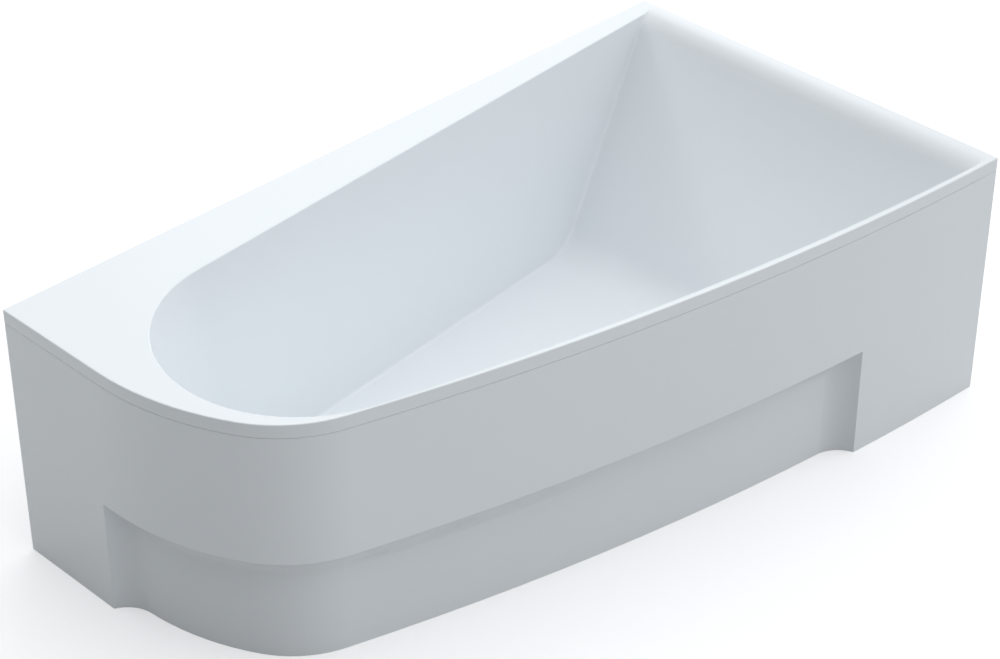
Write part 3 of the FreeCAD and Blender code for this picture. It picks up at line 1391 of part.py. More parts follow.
doc.recompute()
for obj in doc.Objects:
    if "Invalid" in obj.State or "Error" in obj.State:
        raise RuntimeError("%s didn't build" % obj.Name)
for piece in pieces:
    if piece.Shape.isNull() or not piece.Shape.isValid():
        raise RuntimeError("%s has a faulty shape" % piece.Label)
    if not piece.Shape.Solids:
        raise RuntimeError("%s holds no solid" % piece.Label)

os.makedirs("parts", exist_ok=True)
for piece in pieces:
    piece.Shape.exportStep("parts/%s.step" % piece.Label)
    print(piece.Label, len(piece.Shape.Solids), round(piece.Shape.Volume))
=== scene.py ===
import json
import math

import bpy
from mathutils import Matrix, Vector


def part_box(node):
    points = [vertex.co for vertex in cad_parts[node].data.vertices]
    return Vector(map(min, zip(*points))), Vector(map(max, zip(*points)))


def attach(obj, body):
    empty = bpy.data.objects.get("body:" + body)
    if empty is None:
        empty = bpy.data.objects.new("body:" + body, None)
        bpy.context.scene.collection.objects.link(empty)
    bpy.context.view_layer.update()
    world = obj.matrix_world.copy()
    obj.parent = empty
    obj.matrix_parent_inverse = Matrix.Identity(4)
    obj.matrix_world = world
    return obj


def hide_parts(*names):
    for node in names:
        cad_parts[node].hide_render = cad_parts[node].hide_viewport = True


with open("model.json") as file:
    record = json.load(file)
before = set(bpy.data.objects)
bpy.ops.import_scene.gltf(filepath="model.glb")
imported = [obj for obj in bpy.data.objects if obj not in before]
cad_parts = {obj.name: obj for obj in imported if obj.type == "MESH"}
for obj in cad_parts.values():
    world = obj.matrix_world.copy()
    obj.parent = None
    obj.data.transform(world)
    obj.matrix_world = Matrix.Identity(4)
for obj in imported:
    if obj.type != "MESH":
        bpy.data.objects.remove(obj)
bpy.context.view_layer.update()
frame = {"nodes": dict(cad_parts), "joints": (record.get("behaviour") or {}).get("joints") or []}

cadNodes = frame["nodes"]
print("frame loaded with", len(cadNodes), "nodes")


# helpers for shader trees: x and y count columns and rows of the node editor
def joinUp(tree, source, output, target, socket):
    tree.links.new(source.outputs[output], target.inputs[socket])


def addNode(tree, kind, x, y, **settings):
    node = tree.nodes.new(kind)
    node.location = (x * 200, y * -160)
    for name, value in settings.items():
        setattr(node, name, value)
    return node


def startGroup(name, inputs, outputs):
    tree = bpy.data.node_groups.new(name, "ShaderNodeTree")
    for label, kind, value in inputs:
        socket = tree.interface.new_socket(name=label, in_out="INPUT", socket_type="NodeSocket" + kind)
        if value is not None:
            socket.default_value = value
    for label, kind in outputs:
        tree.interface.new_socket(name=label, in_out="OUTPUT", socket_type="NodeSocket" + kind)
    start = addNode(tree, "NodeGroupInput", -5, 0)
    end = addNode(tree, "NodeGroupOutput", 5, 0)
    return tree, start, end


def mixColours(tree, x, y, factor=0.5, blend="MIX"):
    mix = addNode(tree, "ShaderNodeMix", x, y, data_type="RGBA", blend_type=blend)
    mix.inputs[0].default_value = factor
    return mix  # colours are inputs 6 and 7, the result is output 2


def startMaterial(name, metallic=0.0, coat=0.0, coatRoughness=0.1):
    material = bpy.data.materials.new(name)
    material.use_nodes = True
    tree = material.node_tree
    tree.nodes.clear()
    output = addNode(tree, "ShaderNodeOutputMaterial", 4, 0)
    shader = addNode(tree, "ShaderNodeBsdfPrincipled", 2.5, 0)
    shader.inputs["Metallic"].default_value = metallic
    shader.inputs["Coat Weight"].default_value = coat
    shader.inputs["Coat Roughness"].default_value = coatRoughness
    shader.inputs["IOR"].default_value = 1.5  # as for acrylic and most plastics
    joinUp(tree, shader, "BSDF", output, "Surface")
    place = addNode(tree, "ShaderNodeTexCoord", -4, 0)
    return material, tree, shader, place


def putGroup(tree, group, place, values, y=0):
    node = addNode(tree, "ShaderNodeGroup", -1.5, y, node_tree=group)
    joinUp(tree, place, "Object", node, "Place")
    for label, value in values.items():
        node.inputs[label].default_value = value
    return node


def bumpFrom(tree, source, output, shader, look, y=2):
    bump = addNode(tree, "ShaderNodeBump", 1.2, y)
    bump.inputs["Strength"].default_value = look["bump"]
    bump.inputs["Distance"].default_value = look["bumpDepth"]
    joinUp(tree, source, output, bump, "Height")
    joinUp(tree, bump, "Normal", shader, "Normal")


def seenByEye(tree, x, y):
    # one where the camera looks straight, in a mirror or through a clear part, else nought
    path = addNode(tree, "ShaderNodeLightPath", x, y)
    direct = addNode(tree, "ShaderNodeMath", x + 1, y, operation="MAXIMUM")
    joinUp(tree, path, "Is Camera Ray", direct, 0)
    joinUp(tree, path, "Is Glossy Ray", direct, 1)
    seen = addNode(tree, "ShaderNodeMath", x + 2, y, operation="MAXIMUM")
    joinUp(tree, direct, 0, seen, 0)
    joinUp(tree, path, "Is Transmission Ray", seen, 1)
    return seen


def paint(material, *names):
    # every slot of the named CAD nodes takes the material, and their shape stays as it is
    for name in names:
        mesh = cadNodes[name].data
        if not mesh.materials:
            mesh.materials.append(material)
        for number in range(len(mesh.materials)):
            mesh.materials[number] = material


noiseMiddle = 0.5  # what a noise or a random tone gives on average


def makeMouldedSkin():
    # soft colour drift, fine grain and a slow waviness, as on formed or moulded plastic
    tree, start, end = startGroup("mouldedSkin", [
        ("Place", "Vector", None), ("Colour", "Color", (0.8, 0.8, 0.8, 1)),
        ("Drift Colour", "Color", (0.7, 0.7, 0.7, 1)), ("Drift Size", "Float", 3.0),
        ("Drift Amount", "Float", 0.2), ("Grain Size", "Float", 400.0), ("Roughness", "Float", 0.3),
        ("Roughness Spread", "Float", 0.05), ("Wave Size", "Float", 6.0), ("Wave Share", "Float", 0.5),
    ], [("Colour", "Color"), ("Roughness", "Float"), ("Height", "Float")])
    drift = addNode(tree, "ShaderNodeTexNoise", -3, -1)
    grain = addNode(tree, "ShaderNodeTexNoise", -3, 1)
    wave = addNode(tree, "ShaderNodeTexNoise", -3, 3)
    for noise, size, detail in ((drift, "Drift Size", 3), (grain, "Grain Size", 2), (wave, "Wave Size", 1)):
        noise.inputs["Detail"].default_value = detail
        joinUp(tree, start, "Place", noise, "Vector")
        joinUp(tree, start, size, noise, "Scale")
    amount = addNode(tree, "ShaderNodeMath", -1, -1, operation="MULTIPLY")
    joinUp(tree, drift, "Fac", amount, 0)
    joinUp(tree, start, "Drift Amount", amount, 1)
    colour = mixColours(tree, 1, -1)
    joinUp(tree, amount, 0, colour, 0)
    joinUp(tree, start, "Colour", colour, 6)
    joinUp(tree, start, "Drift Colour", colour, 7)
    spread = addNode(tree, "ShaderNodeMath", -1, 1, operation="SUBTRACT")
    joinUp(tree, drift, "Fac", spread, 0)
    spread.inputs[1].default_value = noiseMiddle
    rough = addNode(tree, "ShaderNodeMath", 1, 1, operation="MULTIPLY_ADD")
    joinUp(tree, spread, 0, rough, 0)
    joinUp(tree, start, "Roughness Spread", rough, 1)
    joinUp(tree, start, "Roughness", rough, 2)
    height = addNode(tree, "ShaderNodeMix", 1, 3)
    joinUp(tree, start, "Wave Share", height, 0)
    joinUp(tree, grain, "Fac", height, 2)
    joinUp(tree, wave, "Fac", height, 3)
    joinUp(tree, colour, 2, end, "Colour")
    joinUp(tree, rough, 0, end, "Roughness")
    joinUp(tree, height, 0, end, "Height")
    return tree


def makeStrandLayer():
    # short straight strands that lie one way: glass fibres, wood flakes
    tree, start, end = startGroup("strandLayer", [
        ("Place", "Vector", None), ("Turn", "Vector", (0, 0, 0)), ("Stretch", "Vector", (1, 12, 1)),
        ("Density", "Float", 20.0), ("Width", "Float", 0.1),
    ], [("Mask", "Float"), ("Shade", "Float")])
    turn = addNode(tree, "ShaderNodeVectorRotate", -4, 0, rotation_type="EULER_XYZ")
    joinUp(tree, start, "Place", turn, "Vector")
    joinUp(tree, start, "Turn", turn, "Rotation")
    stretch = addNode(tree, "ShaderNodeVectorMath", -3, 0, operation="MULTIPLY")
    joinUp(tree, turn, 0, stretch, 0)
    joinUp(tree, start, "Stretch", stretch, 1)
    cells = addNode(tree, "ShaderNodeTexVoronoi", -2, 0)
    joinUp(tree, stretch, 0, cells, "Vector")
    joinUp(tree, start, "Density", cells, "Scale")
    edge = addNode(tree, "ShaderNodeMapRange", 0, 0, interpolation_type="SMOOTHSTEP")
    joinUp(tree, cells, "Distance", edge, "Value")
    joinUp(tree, start, "Width", edge, "From Min")
    edge.inputs["From Max"].default_value = 0
    shade = addNode(tree, "ShaderNodeSeparateColor", 0, 1)
    joinUp(tree, cells, "Color", shade, 0)
    joinUp(tree, edge, 0, end, "Mask")
    joinUp(tree, shade, 0, end, "Shade")
    return tree


def makePlatedMetal():
    # crystal spangle or brushed drift, with duller patches
    toneShare = 0.5  # how much the spangle's tone adds to the smudges in the roughness
    tree, start, end = startGroup("platedMetal", [
        ("Place", "Vector", None), ("Light", "Color", (0.7, 0.7, 0.7, 1)),
        ("Dark", "Color", (0.5, 0.5, 0.5, 1)), ("Spangle Size", "Float", 90.0),
        ("Stretch", "Vector", (1, 1, 1)), ("Roughness", "Float", 0.35),
        ("Roughness Spread", "Float", 0.2), ("Smudge Size", "Float", 12.0),
    ], [("Colour", "Color"), ("Roughness", "Float"), ("Height", "Float")])
    stretch = addNode(tree, "ShaderNodeVectorMath", -4, 0, operation="MULTIPLY")
    joinUp(tree, start, "Place", stretch, 0)
    joinUp(tree, start, "Stretch", stretch, 1)
    cells = addNode(tree, "ShaderNodeTexVoronoi", -3, -1)
    joinUp(tree, stretch, 0, cells, "Vector")
    joinUp(tree, start, "Spangle Size", cells, "Scale")
    tone = addNode(tree, "ShaderNodeSeparateColor", -2, -1)
    joinUp(tree, cells, "Color", tone, 0)
    smudge = addNode(tree, "ShaderNodeTexNoise", -3, 2)
    smudge.inputs["Detail"].default_value = 4
    joinUp(tree, start, "Place", smudge, "Vector")
    joinUp(tree, start, "Smudge Size", smudge, "Scale")
    colour = mixColours(tree, 0, -1)
    joinUp(tree, tone, 0, colour, 0)
    joinUp(tree, start, "Light", colour, 6)
    joinUp(tree, start, "Dark", colour, 7)
    both = addNode(tree, "ShaderNodeMath", -1, 1, operation="MULTIPLY_ADD")
    joinUp(tree, tone, 1, both, 0)
    both.inputs[1].default_value = toneShare
    joinUp(tree, smudge, "Fac", both, 2)
    centred = addNode(tree, "ShaderNodeMath", 0, 1, operation="SUBTRACT")
    joinUp(tree, both, 0, centred, 0)
    centred.inputs[1].default_value = noiseMiddle * (1 + toneShare)
    rough = addNode(tree, "ShaderNodeMath", 1, 1, operation="MULTIPLY_ADD")
    joinUp(tree, centred, 0, rough, 0)
    joinUp(tree, start, "Roughness Spread", rough, 1)
    joinUp(tree, start, "Roughness", rough, 2)
    joinUp(tree, colour, 2, end, "Colour")
    joinUp(tree, rough, 0, end, "Roughness")
    joinUp(tree, tone, 0, end, "Height")
    return tree


mouldedSkin = makeMouldedSkin()
strandLayer = makeStrandLayer()
platedMetal = makePlatedMetal()
print("shared effects made")


def makeMoulded(name, look):
    material, tree, shader, place = startMaterial(name, coat=look.get("coat", 0),
                                                  coatRoughness=look.get("coatRoughness", 0.1))
    skin = putGroup(tree, mouldedSkin, place, {
        "Colour": look["colour"] + (1,), "Drift Colour": look["driftColour"] + (1,),
        "Drift Size": look["driftSize"], "Drift Amount": look["driftAmount"],
        "Grain Size": look["grainSize"], "Roughness": look["roughness"],
        "Roughness Spread": look["roughnessSpread"], "Wave Size": look["waveSize"],
        "Wave Share": look["waveShare"]})
    joinUp(tree, skin, "Colour", shader, "Base Color")
    joinUp(tree, skin, "Roughness", shader, "Roughness")
    bumpFrom(tree, skin, "Height", shader, look)
    return material


def makePlated(name, look):
    material, tree, shader, place = startMaterial(name, metallic=1)
    skin = putGroup(tree, platedMetal, place, {
        "Light": look["light"] + (1,), "Dark": look["dark"] + (1,), "Spangle Size": look["spangleSize"],
        "Stretch": look["stretch"], "Roughness": look["roughness"],
        "Roughness Spread": look["roughnessSpread"], "Smudge Size": look["smudgeSize"]})
    joinUp(tree, skin, "Colour", shader, "Base Color")
    joinUp(tree, skin, "Roughness", shader, "Roughness")
    bumpFrom(tree, skin, "Height", shader, look)
    return material


# tub and panel: one white acrylic with a breath of blue, glossier on the tub
acrylicLook = {"colour": (0.83, 0.865, 0.89), "driftColour": (0.81, 0.85, 0.88), "driftSize": 2.2,
               "driftAmount": 0.5, "grainSize": 900.0, "roughness": 0.3, "roughnessSpread": 0.06,
               "waveSize": 5.0, "waveShare": 0.9, "bump": 0.12, "bumpDepth": 0.002,
               "coat": 0.25, "coatRoughness": 0.12}
paint(makeMoulded("glossAcrylic", acrylicLook), "acrylic_shell")

panelLook = dict(acrylicLook, driftSize=1.7, roughness=0.34)
paint(makeMoulded("panelAcrylic", panelLook), "front_panel")

plasticLooks = {
    "footPlastic": {"colour": (0.035, 0.036, 0.038), "driftColour": (0.06, 0.06, 0.062), "driftSize": 30.0,
                    "driftAmount": 0.6, "grainSize": 1500.0, "roughness": 0.48, "roughnessSpread": 0.15,
                    "waveSize": 60.0, "waveShare": 0.2, "bump": 0.35, "bumpDepth": 0.0003},
    "pipePlastic": {"colour": (0.62, 0.63, 0.63), "driftColour": (0.52, 0.53, 0.54), "driftSize": 14.0,
                    "driftAmount": 0.5, "grainSize": 1100.0, "roughness": 0.38, "roughnessSpread": 0.12,
                    "waveSize": 40.0, "waveShare": 0.4, "bump": 0.25, "bumpDepth": 0.0003},
    "magnetShell": {"colour": (0.16, 0.165, 0.17), "driftColour": (0.22, 0.22, 0.23), "driftSize": 60.0,
                    "driftAmount": 0.5, "grainSize": 1800.0, "roughness": 0.42, "roughnessSpread": 0.1,
                    "waveSize": 80.0, "waveShare": 0.3, "bump": 0.25, "bumpDepth": 0.0002},
    "sealRubber": {"colour": (0.022, 0.022, 0.023), "driftColour": (0.05, 0.05, 0.05), "driftSize": 50.0,
                   "driftAmount": 0.5, "grainSize": 2500.0, "roughness": 0.72, "roughnessSpread": 0.12,
                   "waveSize": 90.0, "waveShare": 0.3, "bump": 0.5, "bumpDepth": 0.0002},
    "cableSheath": {"colour": (0.05, 0.052, 0.056), "driftColour": (0.08, 0.08, 0.085), "driftSize": 40.0,
                    "driftAmount": 0.5, "grainSize": 1600.0, "roughness": 0.45, "roughnessSpread": 0.1,
                    "waveSize": 200.0, "waveShare": 0.5, "bump": 0.4, "bumpDepth": 0.0003},
}
plastics = {name: makeMoulded(name, look) for name, look in plasticLooks.items()}
paint(plastics["footPlastic"], "foot_pad_1", "foot_pad_2", "foot_pad_3", "foot_pad_4")
paint(plastics["pipePlastic"], "waste_body", "trap_body", "trap_cup", "trap_nut", "outlet_pipe",
      "outlet_nut", "overflow_body", "overflow_pipe", "pipe_nut_upper", "pipe_nut_lower", "cable_drum")
paint(plastics["magnetShell"], "panel_magnets")
paint(plastics["sealRubber"], "waste_top_seal", "waste_lower_seal", "plug_seal", "outlet_seal",
      "overflow_seal")
paint(plastics["cableSheath"], "control_cable")

metalLooks = {
    "zincSteel": {"light": (0.62, 0.63, 0.64), "dark": (0.46, 0.475, 0.49), "spangleSize": 110.0,
                  "stretch": (1, 1, 1), "roughness": 0.4, "roughnessSpread": 0.22, "smudgeSize": 14.0,
                  "bump": 0.15, "bumpDepth": 0.0002},
    "chromeTrim": {"light": (0.80, 0.81, 0.82), "dark": (0.76, 0.77, 0.79), "spangleSize": 260.0,
                   "stretch": (1, 1, 1), "roughness": 0.09, "roughnessSpread": 0.06, "smudgeSize": 45.0,
                   "bump": 0.02, "bumpDepth": 0.0001},
    "spindleBrass": {"light": (0.72, 0.53, 0.26), "dark": (0.60, 0.42, 0.20), "spangleSize": 700.0,
                     "stretch": (1, 1, 0.1), "roughness": 0.3, "roughnessSpread": 0.15, "smudgeSize": 90.0,
                     "bump": 0.1, "bumpDepth": 0.0001},
}
metals = {name: makePlated(name, look) for name, look in metalLooks.items()}
paint(metals["zincSteel"], "left_leg_rail", "right_leg_rail", "rail_screws", "rail_nuts", "lock_nuts",
      "foot_rod_1", "foot_rod_2", "foot_rod_3", "foot_rod_4", "back_bracket_left", "back_bracket_right",
      "end_bracket", "panel_bracket_left", "panel_bracket_right", "bracket_bolts", "bracket_nuts",
      "panel_keepers", "overflow_screws")
paint(metals["chromeTrim"], "waste_flange", "waste_plug", "overflow_plate", "overflow_knob")
paint(metals["spindleBrass"], "knob_spindle", "plug_stem")


def makeStranded(name, look):
    # layers of strands over a resin or glue colour
    material, tree, shader, place = startMaterial(name, coat=look["coat"],
                                                  coatRoughness=look["coatRoughness"])
    base = putGroup(tree, mouldedSkin, place, {
        "Colour": look["colour"] + (1,), "Drift Colour": look["driftColour"] + (1,),
        "Drift Size": look["driftSize"], "Drift Amount": look["driftAmount"],
        "Roughness": look["roughness"], "Grain Size": look["grainSize"],
        "Wave Size": look["waveSize"], "Wave Share": look["waveShare"]}, y=-2)
    colour, colourSocket = base, "Colour"
    height, heightSocket = base, "Height"
    for number, turn in enumerate(look["turns"]):
        layer = putGroup(tree, strandLayer, place, {
            "Turn": turn, "Stretch": look["stretch"], "Density": look["density"],
            "Width": look["width"]}, y=number)
        share = addNode(tree, "ShaderNodeMath", -0.5, number, operation="MULTIPLY")
        joinUp(tree, layer, "Mask", share, 0)
        share.inputs[1].default_value = look["strandShare"]
        tone = mixColours(tree, -0.5, number + 0.5)
        tone.inputs[6].default_value = look["strandLight"] + (1,)
        tone.inputs[7].default_value = look["strandDark"] + (1,)
        joinUp(tree, layer, "Shade", tone, 0)
        over = mixColours(tree, 0.3, number)
        joinUp(tree, share, 0, over, 0)
        joinUp(tree, colour, colourSocket, over, 6)
        joinUp(tree, tone, 2, over, 7)
        rise = addNode(tree, "ShaderNodeMath", 0.3, number + 0.5, operation="MULTIPLY_ADD")
        joinUp(tree, layer, "Mask", rise, 0)
        rise.inputs[1].default_value = look["strandRise"]
        joinUp(tree, height, heightSocket, rise, 2)
        colour, colourSocket = over, 2
        height, heightSocket = rise, 0
    joinUp(tree, colour, colourSocket, shader, "Base Color")
    joinUp(tree, base, "Roughness", shader, "Roughness")
    bumpFrom(tree, height, heightSocket, shader, look)
    return material


laminateLook = {"colour": (0.70, 0.70, 0.62), "driftColour": (0.58, 0.58, 0.48), "driftSize": 4.0,
                "driftAmount": 0.8, "grainSize": 120.0, "waveSize": 14.0, "waveShare": 0.6,
                "roughness": 0.42, "coat": 0.35, "coatRoughness": 0.25,
                "turns": [(0.3, 0.2, 0.4), (1.2, 0.5, 1.5), (0.6, 1.3, 2.4), (2.0, 0.9, 0.9)],
                "stretch": (1, 14, 1), "density": 14.0, "width": 0.36, "strandShare": 0.6,
                "strandLight": (0.88, 0.88, 0.82), "strandDark": (0.44, 0.44, 0.36),
                "strandRise": 0.35, "bump": 0.7, "bumpDepth": 0.0015}
paint(makeStranded("glassLaminate", laminateLook), "laminate_backing")

boardLook = {"colour": (0.36, 0.26, 0.16), "driftColour": (0.27, 0.19, 0.11), "driftSize": 9.0,
             "driftAmount": 0.8, "grainSize": 400.0, "waveSize": 30.0, "waveShare": 0.6,
             "roughness": 0.62, "coat": 0.1, "coatRoughness": 0.25,
             "turns": [(0, 0, 0.2), (0, 0, 1.3), (0, 0, 2.3)],
             "stretch": (1, 3.2, 1), "density": 60.0, "width": 0.42, "strandShare": 0.7,
             "strandLight": (0.58, 0.45, 0.30), "strandDark": (0.30, 0.20, 0.11),
             "strandRise": 0.35, "bump": 0.4, "bumpDepth": 0.0005}
paint(makeStranded("pressedBoard", boardLook), "base_board")


def makeGrainedWood(name, look):
    # year rings along the batten, darkened by fine streaks
    material, tree, shader, place = startMaterial(name)
    stretch = addNode(tree, "ShaderNodeVectorMath", -3.3, 1, operation="MULTIPLY")
    joinUp(tree, place, "Object", stretch, 0)
    stretch.inputs[1].default_value = look["stretch"]
    rings = addNode(tree, "ShaderNodeTexWave", -2.5, 1, wave_type="RINGS", rings_direction="X")
    rings.inputs["Scale"].default_value = look["ringSize"]
    rings.inputs["Distortion"].default_value = look["waver"]
    rings.inputs["Detail"].default_value = look["ringDetail"]
    joinUp(tree, stretch, 0, rings, "Vector")
    fibres = addNode(tree, "ShaderNodeTexNoise", -2.5, 3)
    fibres.inputs["Scale"].default_value = look["fibreSize"]
    fibres.inputs["Detail"].default_value = look["fibreDetail"]
    joinUp(tree, stretch, 0, fibres, "Vector")
    late = mixColours(tree, -0.5, 0)
    late.inputs[6].default_value = look["early"] + (1,)
    late.inputs[7].default_value = look["late"] + (1,)
    joinUp(tree, rings, "Fac", late, 0)
    streaks = mixColours(tree, 0.8, 0, look["streakShare"], "MULTIPLY")
    joinUp(tree, late, 2, streaks, 6)
    joinUp(tree, fibres, "Fac", streaks, 7)
    joinUp(tree, streaks, 2, shader, "Base Color")
    rough = addNode(tree, "ShaderNodeMapRange", 0.8, 2)
    rough.inputs["To Min"].default_value = look["roughness"] - look["roughnessSpread"]
    rough.inputs["To Max"].default_value = look["roughness"] + look["roughnessSpread"]
    joinUp(tree, fibres, "Fac", rough, "Value")
    joinUp(tree, rough, 0, shader, "Roughness")
    bumpFrom(tree, fibres, "Fac", shader, look, y=3)
    return material


battenLook = {"early": (0.66, 0.50, 0.31), "late": (0.46, 0.29, 0.14), "ringSize": 26.0, "ringDetail": 3,
              "waver": 2.6, "stretch": (0.06, 1, 1), "fibreSize": 160.0, "fibreDetail": 5,
              "streakShare": 0.45, "roughness": 0.66, "roughnessSpread": 0.1, "bump": 0.35,
              "bumpDepth": 0.0004}
paint(makeGrainedWood("pineBatten", battenLook), "back_rim_batten")
print("finishes on", len([n for n in cadNodes.values() if n.data.materials]), "nodes")

near = 0.0001  # lengths closer than this count as one, in metres
smoothAngle = 38  # sharper edges than this stay hard, in degrees
uprightLimit = 0.99  # a face this near to level looks up or down


def startEdit(mode):
    bpy.ops.object.mode_set(mode="EDIT")
    bpy.ops.mesh.select_mode(type=mode)
    bpy.ops.mesh.select_all(action="DESELECT")
    bpy.ops.object.mode_set(mode="OBJECT")


def pickFaces(piece, wanted):
    startEdit("FACE")
    for face in piece.data.polygons:
        face.select = wanted(face)
    bpy.ops.object.mode_set(mode="EDIT")


def pickEdges(piece, wanted):
    startEdit("EDGE")
    points = piece.data.vertices
    for edge in piece.data.edges:
        edge.select = wanted(points[edge.vertices[0]].co, points[edge.vertices[1]].co)
    bpy.ops.object.mode_set(mode="EDIT")


def looksUp(face):
    return face.normal.z > uprightLimit


def looksDown(face):
    return face.normal.z < -uprightLimit


def isLevel(a, b):
    return abs(a.z - b.z) < near


def addDrum(sides, radius, low, high, turn=0.0):
    bpy.ops.object.select_all(action="DESELECT")
    bpy.ops.mesh.primitive_cylinder_add(vertices=sides, radius=radius, depth=high - low,
                                        location=(0, 0, (low + high) / 2), rotation=(0, 0, turn))
    drum = bpy.context.object
    bpy.ops.object.transform_apply(location=True, rotation=True, scale=True)
    return drum


def finishPiece(piece, name, material, body, node, place, lean):
    # from upright at the origin to its place in the tub, leaning about the Y axis
    bpy.ops.object.mode_set(mode="OBJECT")
    piece.name = name
    bpy.ops.object.shade_smooth_by_angle(angle=math.radians(smoothAngle))
    piece.rotation_euler = (0, lean, 0)
    piece.location = place
    bpy.ops.object.transform_apply(location=True, rotation=True, scale=True)
    piece.data.materials.clear()
    piece.data.materials.append(material)
    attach(piece, body)
    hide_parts(node)


joints = {joint["name"]: joint for joint in frame["joints"]}

# lengths along the rod start at the middle of its swivel head
footRod = {"crest": 0.005, "root": 0.0042, "pitch": 0.0015, "steps": 18, "toothLow": 0.42,
           "toothHigh": 0.58, "threadLow": 0.0215, "spareTurns": 3, "topGap": 0.0001, "merge": 0.00001,
           "neckLow": -0.001, "neckSides": 32, "headRadius": 0.007, "headSides": 40,
           "headChamfer": 0.0035, "keySides": 6, "keyRadius": 0.0075, "keyLow": 0.012, "keyHigh": 0.020,
           "keyBevel": 0.0005, "keyBevelSteps": 2}


def windThread(top):
    # one tooth of the thread, wound up by a screw modifier and cut flat at both ends
    bpy.ops.object.select_all(action="DESELECT")
    bpy.ops.mesh.primitive_plane_add(size=footRod["crest"], location=(0, 0, 0))  # reshaped below
    thread = bpy.context.object
    bpy.ops.object.mode_set(mode="EDIT")
    bpy.ops.mesh.delete(type="ONLY_FACE")
    bpy.ops.object.mode_set(mode="OBJECT")
    pickEdges(thread, lambda a, b: a.x < 0 and b.x < 0)
    bpy.ops.mesh.delete(type="EDGE")
    bpy.ops.object.mode_set(mode="OBJECT")
    pitch = footRod["pitch"]
    for point in thread.data.vertices:
        inner, lower = point.co.x < 0, point.co.y < 0
        if inner:
            point.co = (footRod["root"], 0, pitch * (0.0 if lower else 1.0))
        else:
            point.co = (footRod["crest"], 0, pitch * footRod["toothLow" if lower else "toothHigh"])
    wind = thread.modifiers.new("wind", "SCREW")
    wind.axis = "Z"
    wind.screw_offset = pitch
    wind.steps = wind.render_steps = footRod["steps"]
    wind.iterations = int(top / pitch) + footRod["spareTurns"]  # past the cut at the top
    wind.use_merge_vertices = True
    wind.merge_threshold = footRod["merge"]
    bpy.ops.object.modifier_apply(modifier="wind")
    bpy.ops.object.mode_set(mode="EDIT")
    bpy.ops.mesh.select_all(action="SELECT")
    bpy.ops.mesh.remove_doubles(threshold=footRod["merge"])
    bpy.ops.mesh.bisect(plane_co=(0, 0, footRod["threadLow"]), plane_no=(0, 0, 1), use_fill=True,
                        clear_inner=True)
    bpy.ops.mesh.select_all(action="SELECT")
    bpy.ops.mesh.bisect(plane_co=(0, 0, top), plane_no=(0, 0, 1), use_fill=True, clear_outer=True)
    bpy.ops.mesh.select_all(action="SELECT")
    bpy.ops.mesh.normals_make_consistent(inside=False)
    bpy.ops.object.mode_set(mode="OBJECT")
    return thread


def makeFootRod(number):
    node = f"foot_rod_{number}"
    joint = joints[f"rod_{number}_turn"]
    lean = math.atan2(joint["axis"][0], joint["axis"][2])
    top = (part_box(node)[1][2] - joint["pos_m"][2]) / math.cos(lean) - footRod["topGap"]
    thread = windThread(top)
    neck = addDrum(footRod["neckSides"], footRod["root"], footRod["neckLow"], footRod["threadLow"])
    radius = footRod["headRadius"]
    head = addDrum(footRod["headSides"], radius, -radius, radius)
    pickEdges(head, isLevel)
    bpy.ops.mesh.bevel(offset=footRod["headChamfer"], segments=1)
    bpy.ops.object.mode_set(mode="OBJECT")
    key = addDrum(footRod["keySides"], footRod["keyRadius"], footRod["keyLow"], footRod["keyHigh"],
                  math.pi / 2)
    pickEdges(key, lambda a, b: True)
    bpy.ops.mesh.bevel(offset=footRod["keyBevel"], segments=footRod["keyBevelSteps"])
    bpy.ops.object.mode_set(mode="OBJECT")
    for part in (thread, neck, head, key):
        part.select_set(True)
    bpy.context.view_layer.objects.active = thread
    bpy.ops.object.join()
    finishPiece(thread, f"footRod{number}", metals["zincSteel"], f"rod_{number}", node,
                joint["pos_m"], lean)


for number in range(1, 5):
    makeFootRod(number)
print("threaded foot rods made")

knob = {"radius": 0.029, "low": 0.011, "high": 0.023, "sides": 96, "round": 0.003, "roundSteps": 5,
        "gripEvery": 3, "gripWidth": 0.0003, "gripDepth": 0.0004, "wallLimit": 0.05,
        "frontArea": 0.0005, "dishRim": 0.0045, "dishEdge": 0.0008, "dishRing": 0.006,
        "dishDepth": 0.0007, "middleDepth": 0.00035}


def makeKnob():
    # a rounded drum with grip grooves round its wall and a dished front
    joint = joints["knob_turn"]
    piece = addDrum(knob["sides"], knob["radius"], knob["low"], knob["high"])
    outer = knob["radius"] - near
    pickEdges(piece, lambda a, b: isLevel(a, b) and min(a.xy.length, b.xy.length) > outer)
    bpy.ops.mesh.bevel(offset=knob["round"], segments=knob["roundSteps"])
    bpy.ops.object.mode_set(mode="OBJECT")
    step = 2 * math.pi / knob["sides"]

    def isGroove(face):
        side = round(math.atan2(face.center.y, face.center.x) / step - 0.5)
        return abs(face.normal.z) < knob["wallLimit"] and side % knob["gripEvery"] == 0

    pickFaces(piece, isGroove)
    bpy.ops.mesh.inset(thickness=knob["gripWidth"], use_individual=True)
    bpy.ops.transform.shrink_fatten(value=-knob["gripDepth"])
    bpy.ops.object.mode_set(mode="OBJECT")
    pickFaces(piece, lambda face: looksUp(face) and face.area > knob["frontArea"])
    bpy.ops.mesh.inset(thickness=knob["dishRim"])
    bpy.ops.mesh.inset(thickness=knob["dishEdge"])
    bpy.ops.transform.translate(value=(0, 0, -knob["dishDepth"]))
    bpy.ops.mesh.inset(thickness=knob["dishRing"])
    bpy.ops.transform.translate(value=(0, 0, -knob["middleDepth"]))
    finishPiece(piece, "overflowKnob", metals["chromeTrim"], "knob", "overflow_knob",
                joint["pos_m"], math.atan2(joint["axis"][0], joint["axis"][2]))


makeKnob()

